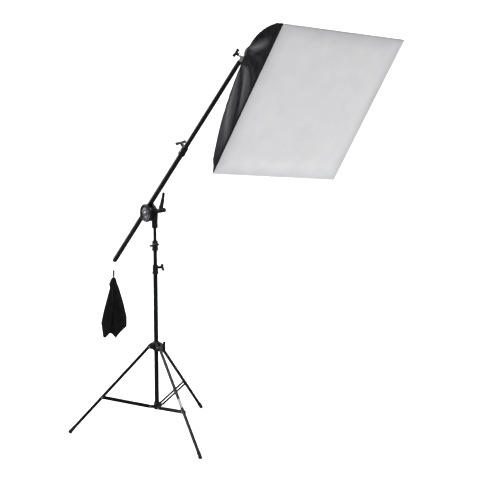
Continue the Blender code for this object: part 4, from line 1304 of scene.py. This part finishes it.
def area_light(name, place, target, size, power):
    data = bpy.data.lights.new(name, "AREA")
    data.shape = "DISK"
    data.size = size
    data.energy = power
    item = bpy.data.objects.new(name, data)
    item.location = place
    item.rotation_euler = (Vector(target) - Vector(place)).to_track_quat("-Z", "Y").to_euler()
    item.visible_camera = False
    bpy.context.scene.collection.objects.link(item)
    return data


def studio():
    world = bpy.data.worlds.new("studio")
    world.use_nodes = True
    world.node_tree.nodes["Background"].inputs["Color"].default_value = (1.0, 1.0, 1.0, 1.0)
    world.node_tree.nodes["Background"].inputs["Strength"].default_value = 0.18
    bpy.context.scene.world = world
    bpy.context.scene.view_settings.view_transform = "Standard"
    area_light("key", (-3.4, -3.0, 3.9), (0.0, -0.2, 1.2), 1.2, 70.0)
    area_light("fill", (3.8, -4.6, 2.4), (0.2, -0.3, 1.2), 2.0, 40.0)
    area_light("back_left", (-3.2, 2.4, 3.6), (0.0, 0.0, 1.3), 1.6, 150.0)
    strip = area_light("strip_left", (-3.8, 2.5, 1.6), (0.0, 0.0, 1.3), 1.5, 105.0)
    strip.shape = "RECTANGLE"
    strip.size_y = 3.0
    strip = area_light("strip_right", (3.3, -4.0, 0.9), (0.0, 0.0, 0.9), 0.4, 4.0)
    strip.shape = "RECTANGLE"
    strip.size_y = 2.6
    area_light("overhead", (0.0, 0.6, 5.5), (0.0, 0.6, 0.0), 5.0, 430.0)
    area_light("sweep_left", (-4.0, 2.2, 4.6), (-1.0, 6.8, 2.4), 2.5, 260.0)
    area_light("sweep_right", (4.0, 2.2, 4.6), (1.0, 6.8, 2.4), 2.5, 260.0)
    seamless_sweep()


def seamless_sweep():
    """Pale paper that lies flat under the object and curves up behind it."""
    profile = [(-14.0, 0.0), (4.4, 0.0)]
    for step in range(1, 25):
        angle = math.radians(90.0 * step / 24)
        profile.append((4.4 + 2.6 * math.sin(angle), 2.6 - 2.6 * math.cos(angle)))
    profile.append((7.0, 9.0))
    shape = bmesh.new()
    rails = [[shape.verts.new((x, y, z)) for y, z in profile] for x in (-12.0, 12.0)]
    for index in range(len(profile) - 1):
        shape.faces.new((rails[0][index], rails[1][index], rails[1][index + 1], rails[0][index + 1]))
    mesh = bpy.data.meshes.new("floor")
    shape.to_mesh(mesh)
    shape.free()
    mesh.shade_smooth()
    mesh.materials.append(plain_floor())
    floor = bpy.data.objects.new("floor", mesh)
    bpy.context.scene.collection.objects.link(floor)
    floor.visible_glossy = False


camera()
studio()
column()
struts_and_pins()
castings()
for knob_node, knob_joint in KNOBS.items():
    wing_screw(knob_node, knob_joint)
clamp_matrix = clamp_frame()
clamp_face(clamp_matrix)
grip_ribs()
clamp_lever(clamp_matrix)
clamp_screws()
ring_and_hook()
softbox()
bag()
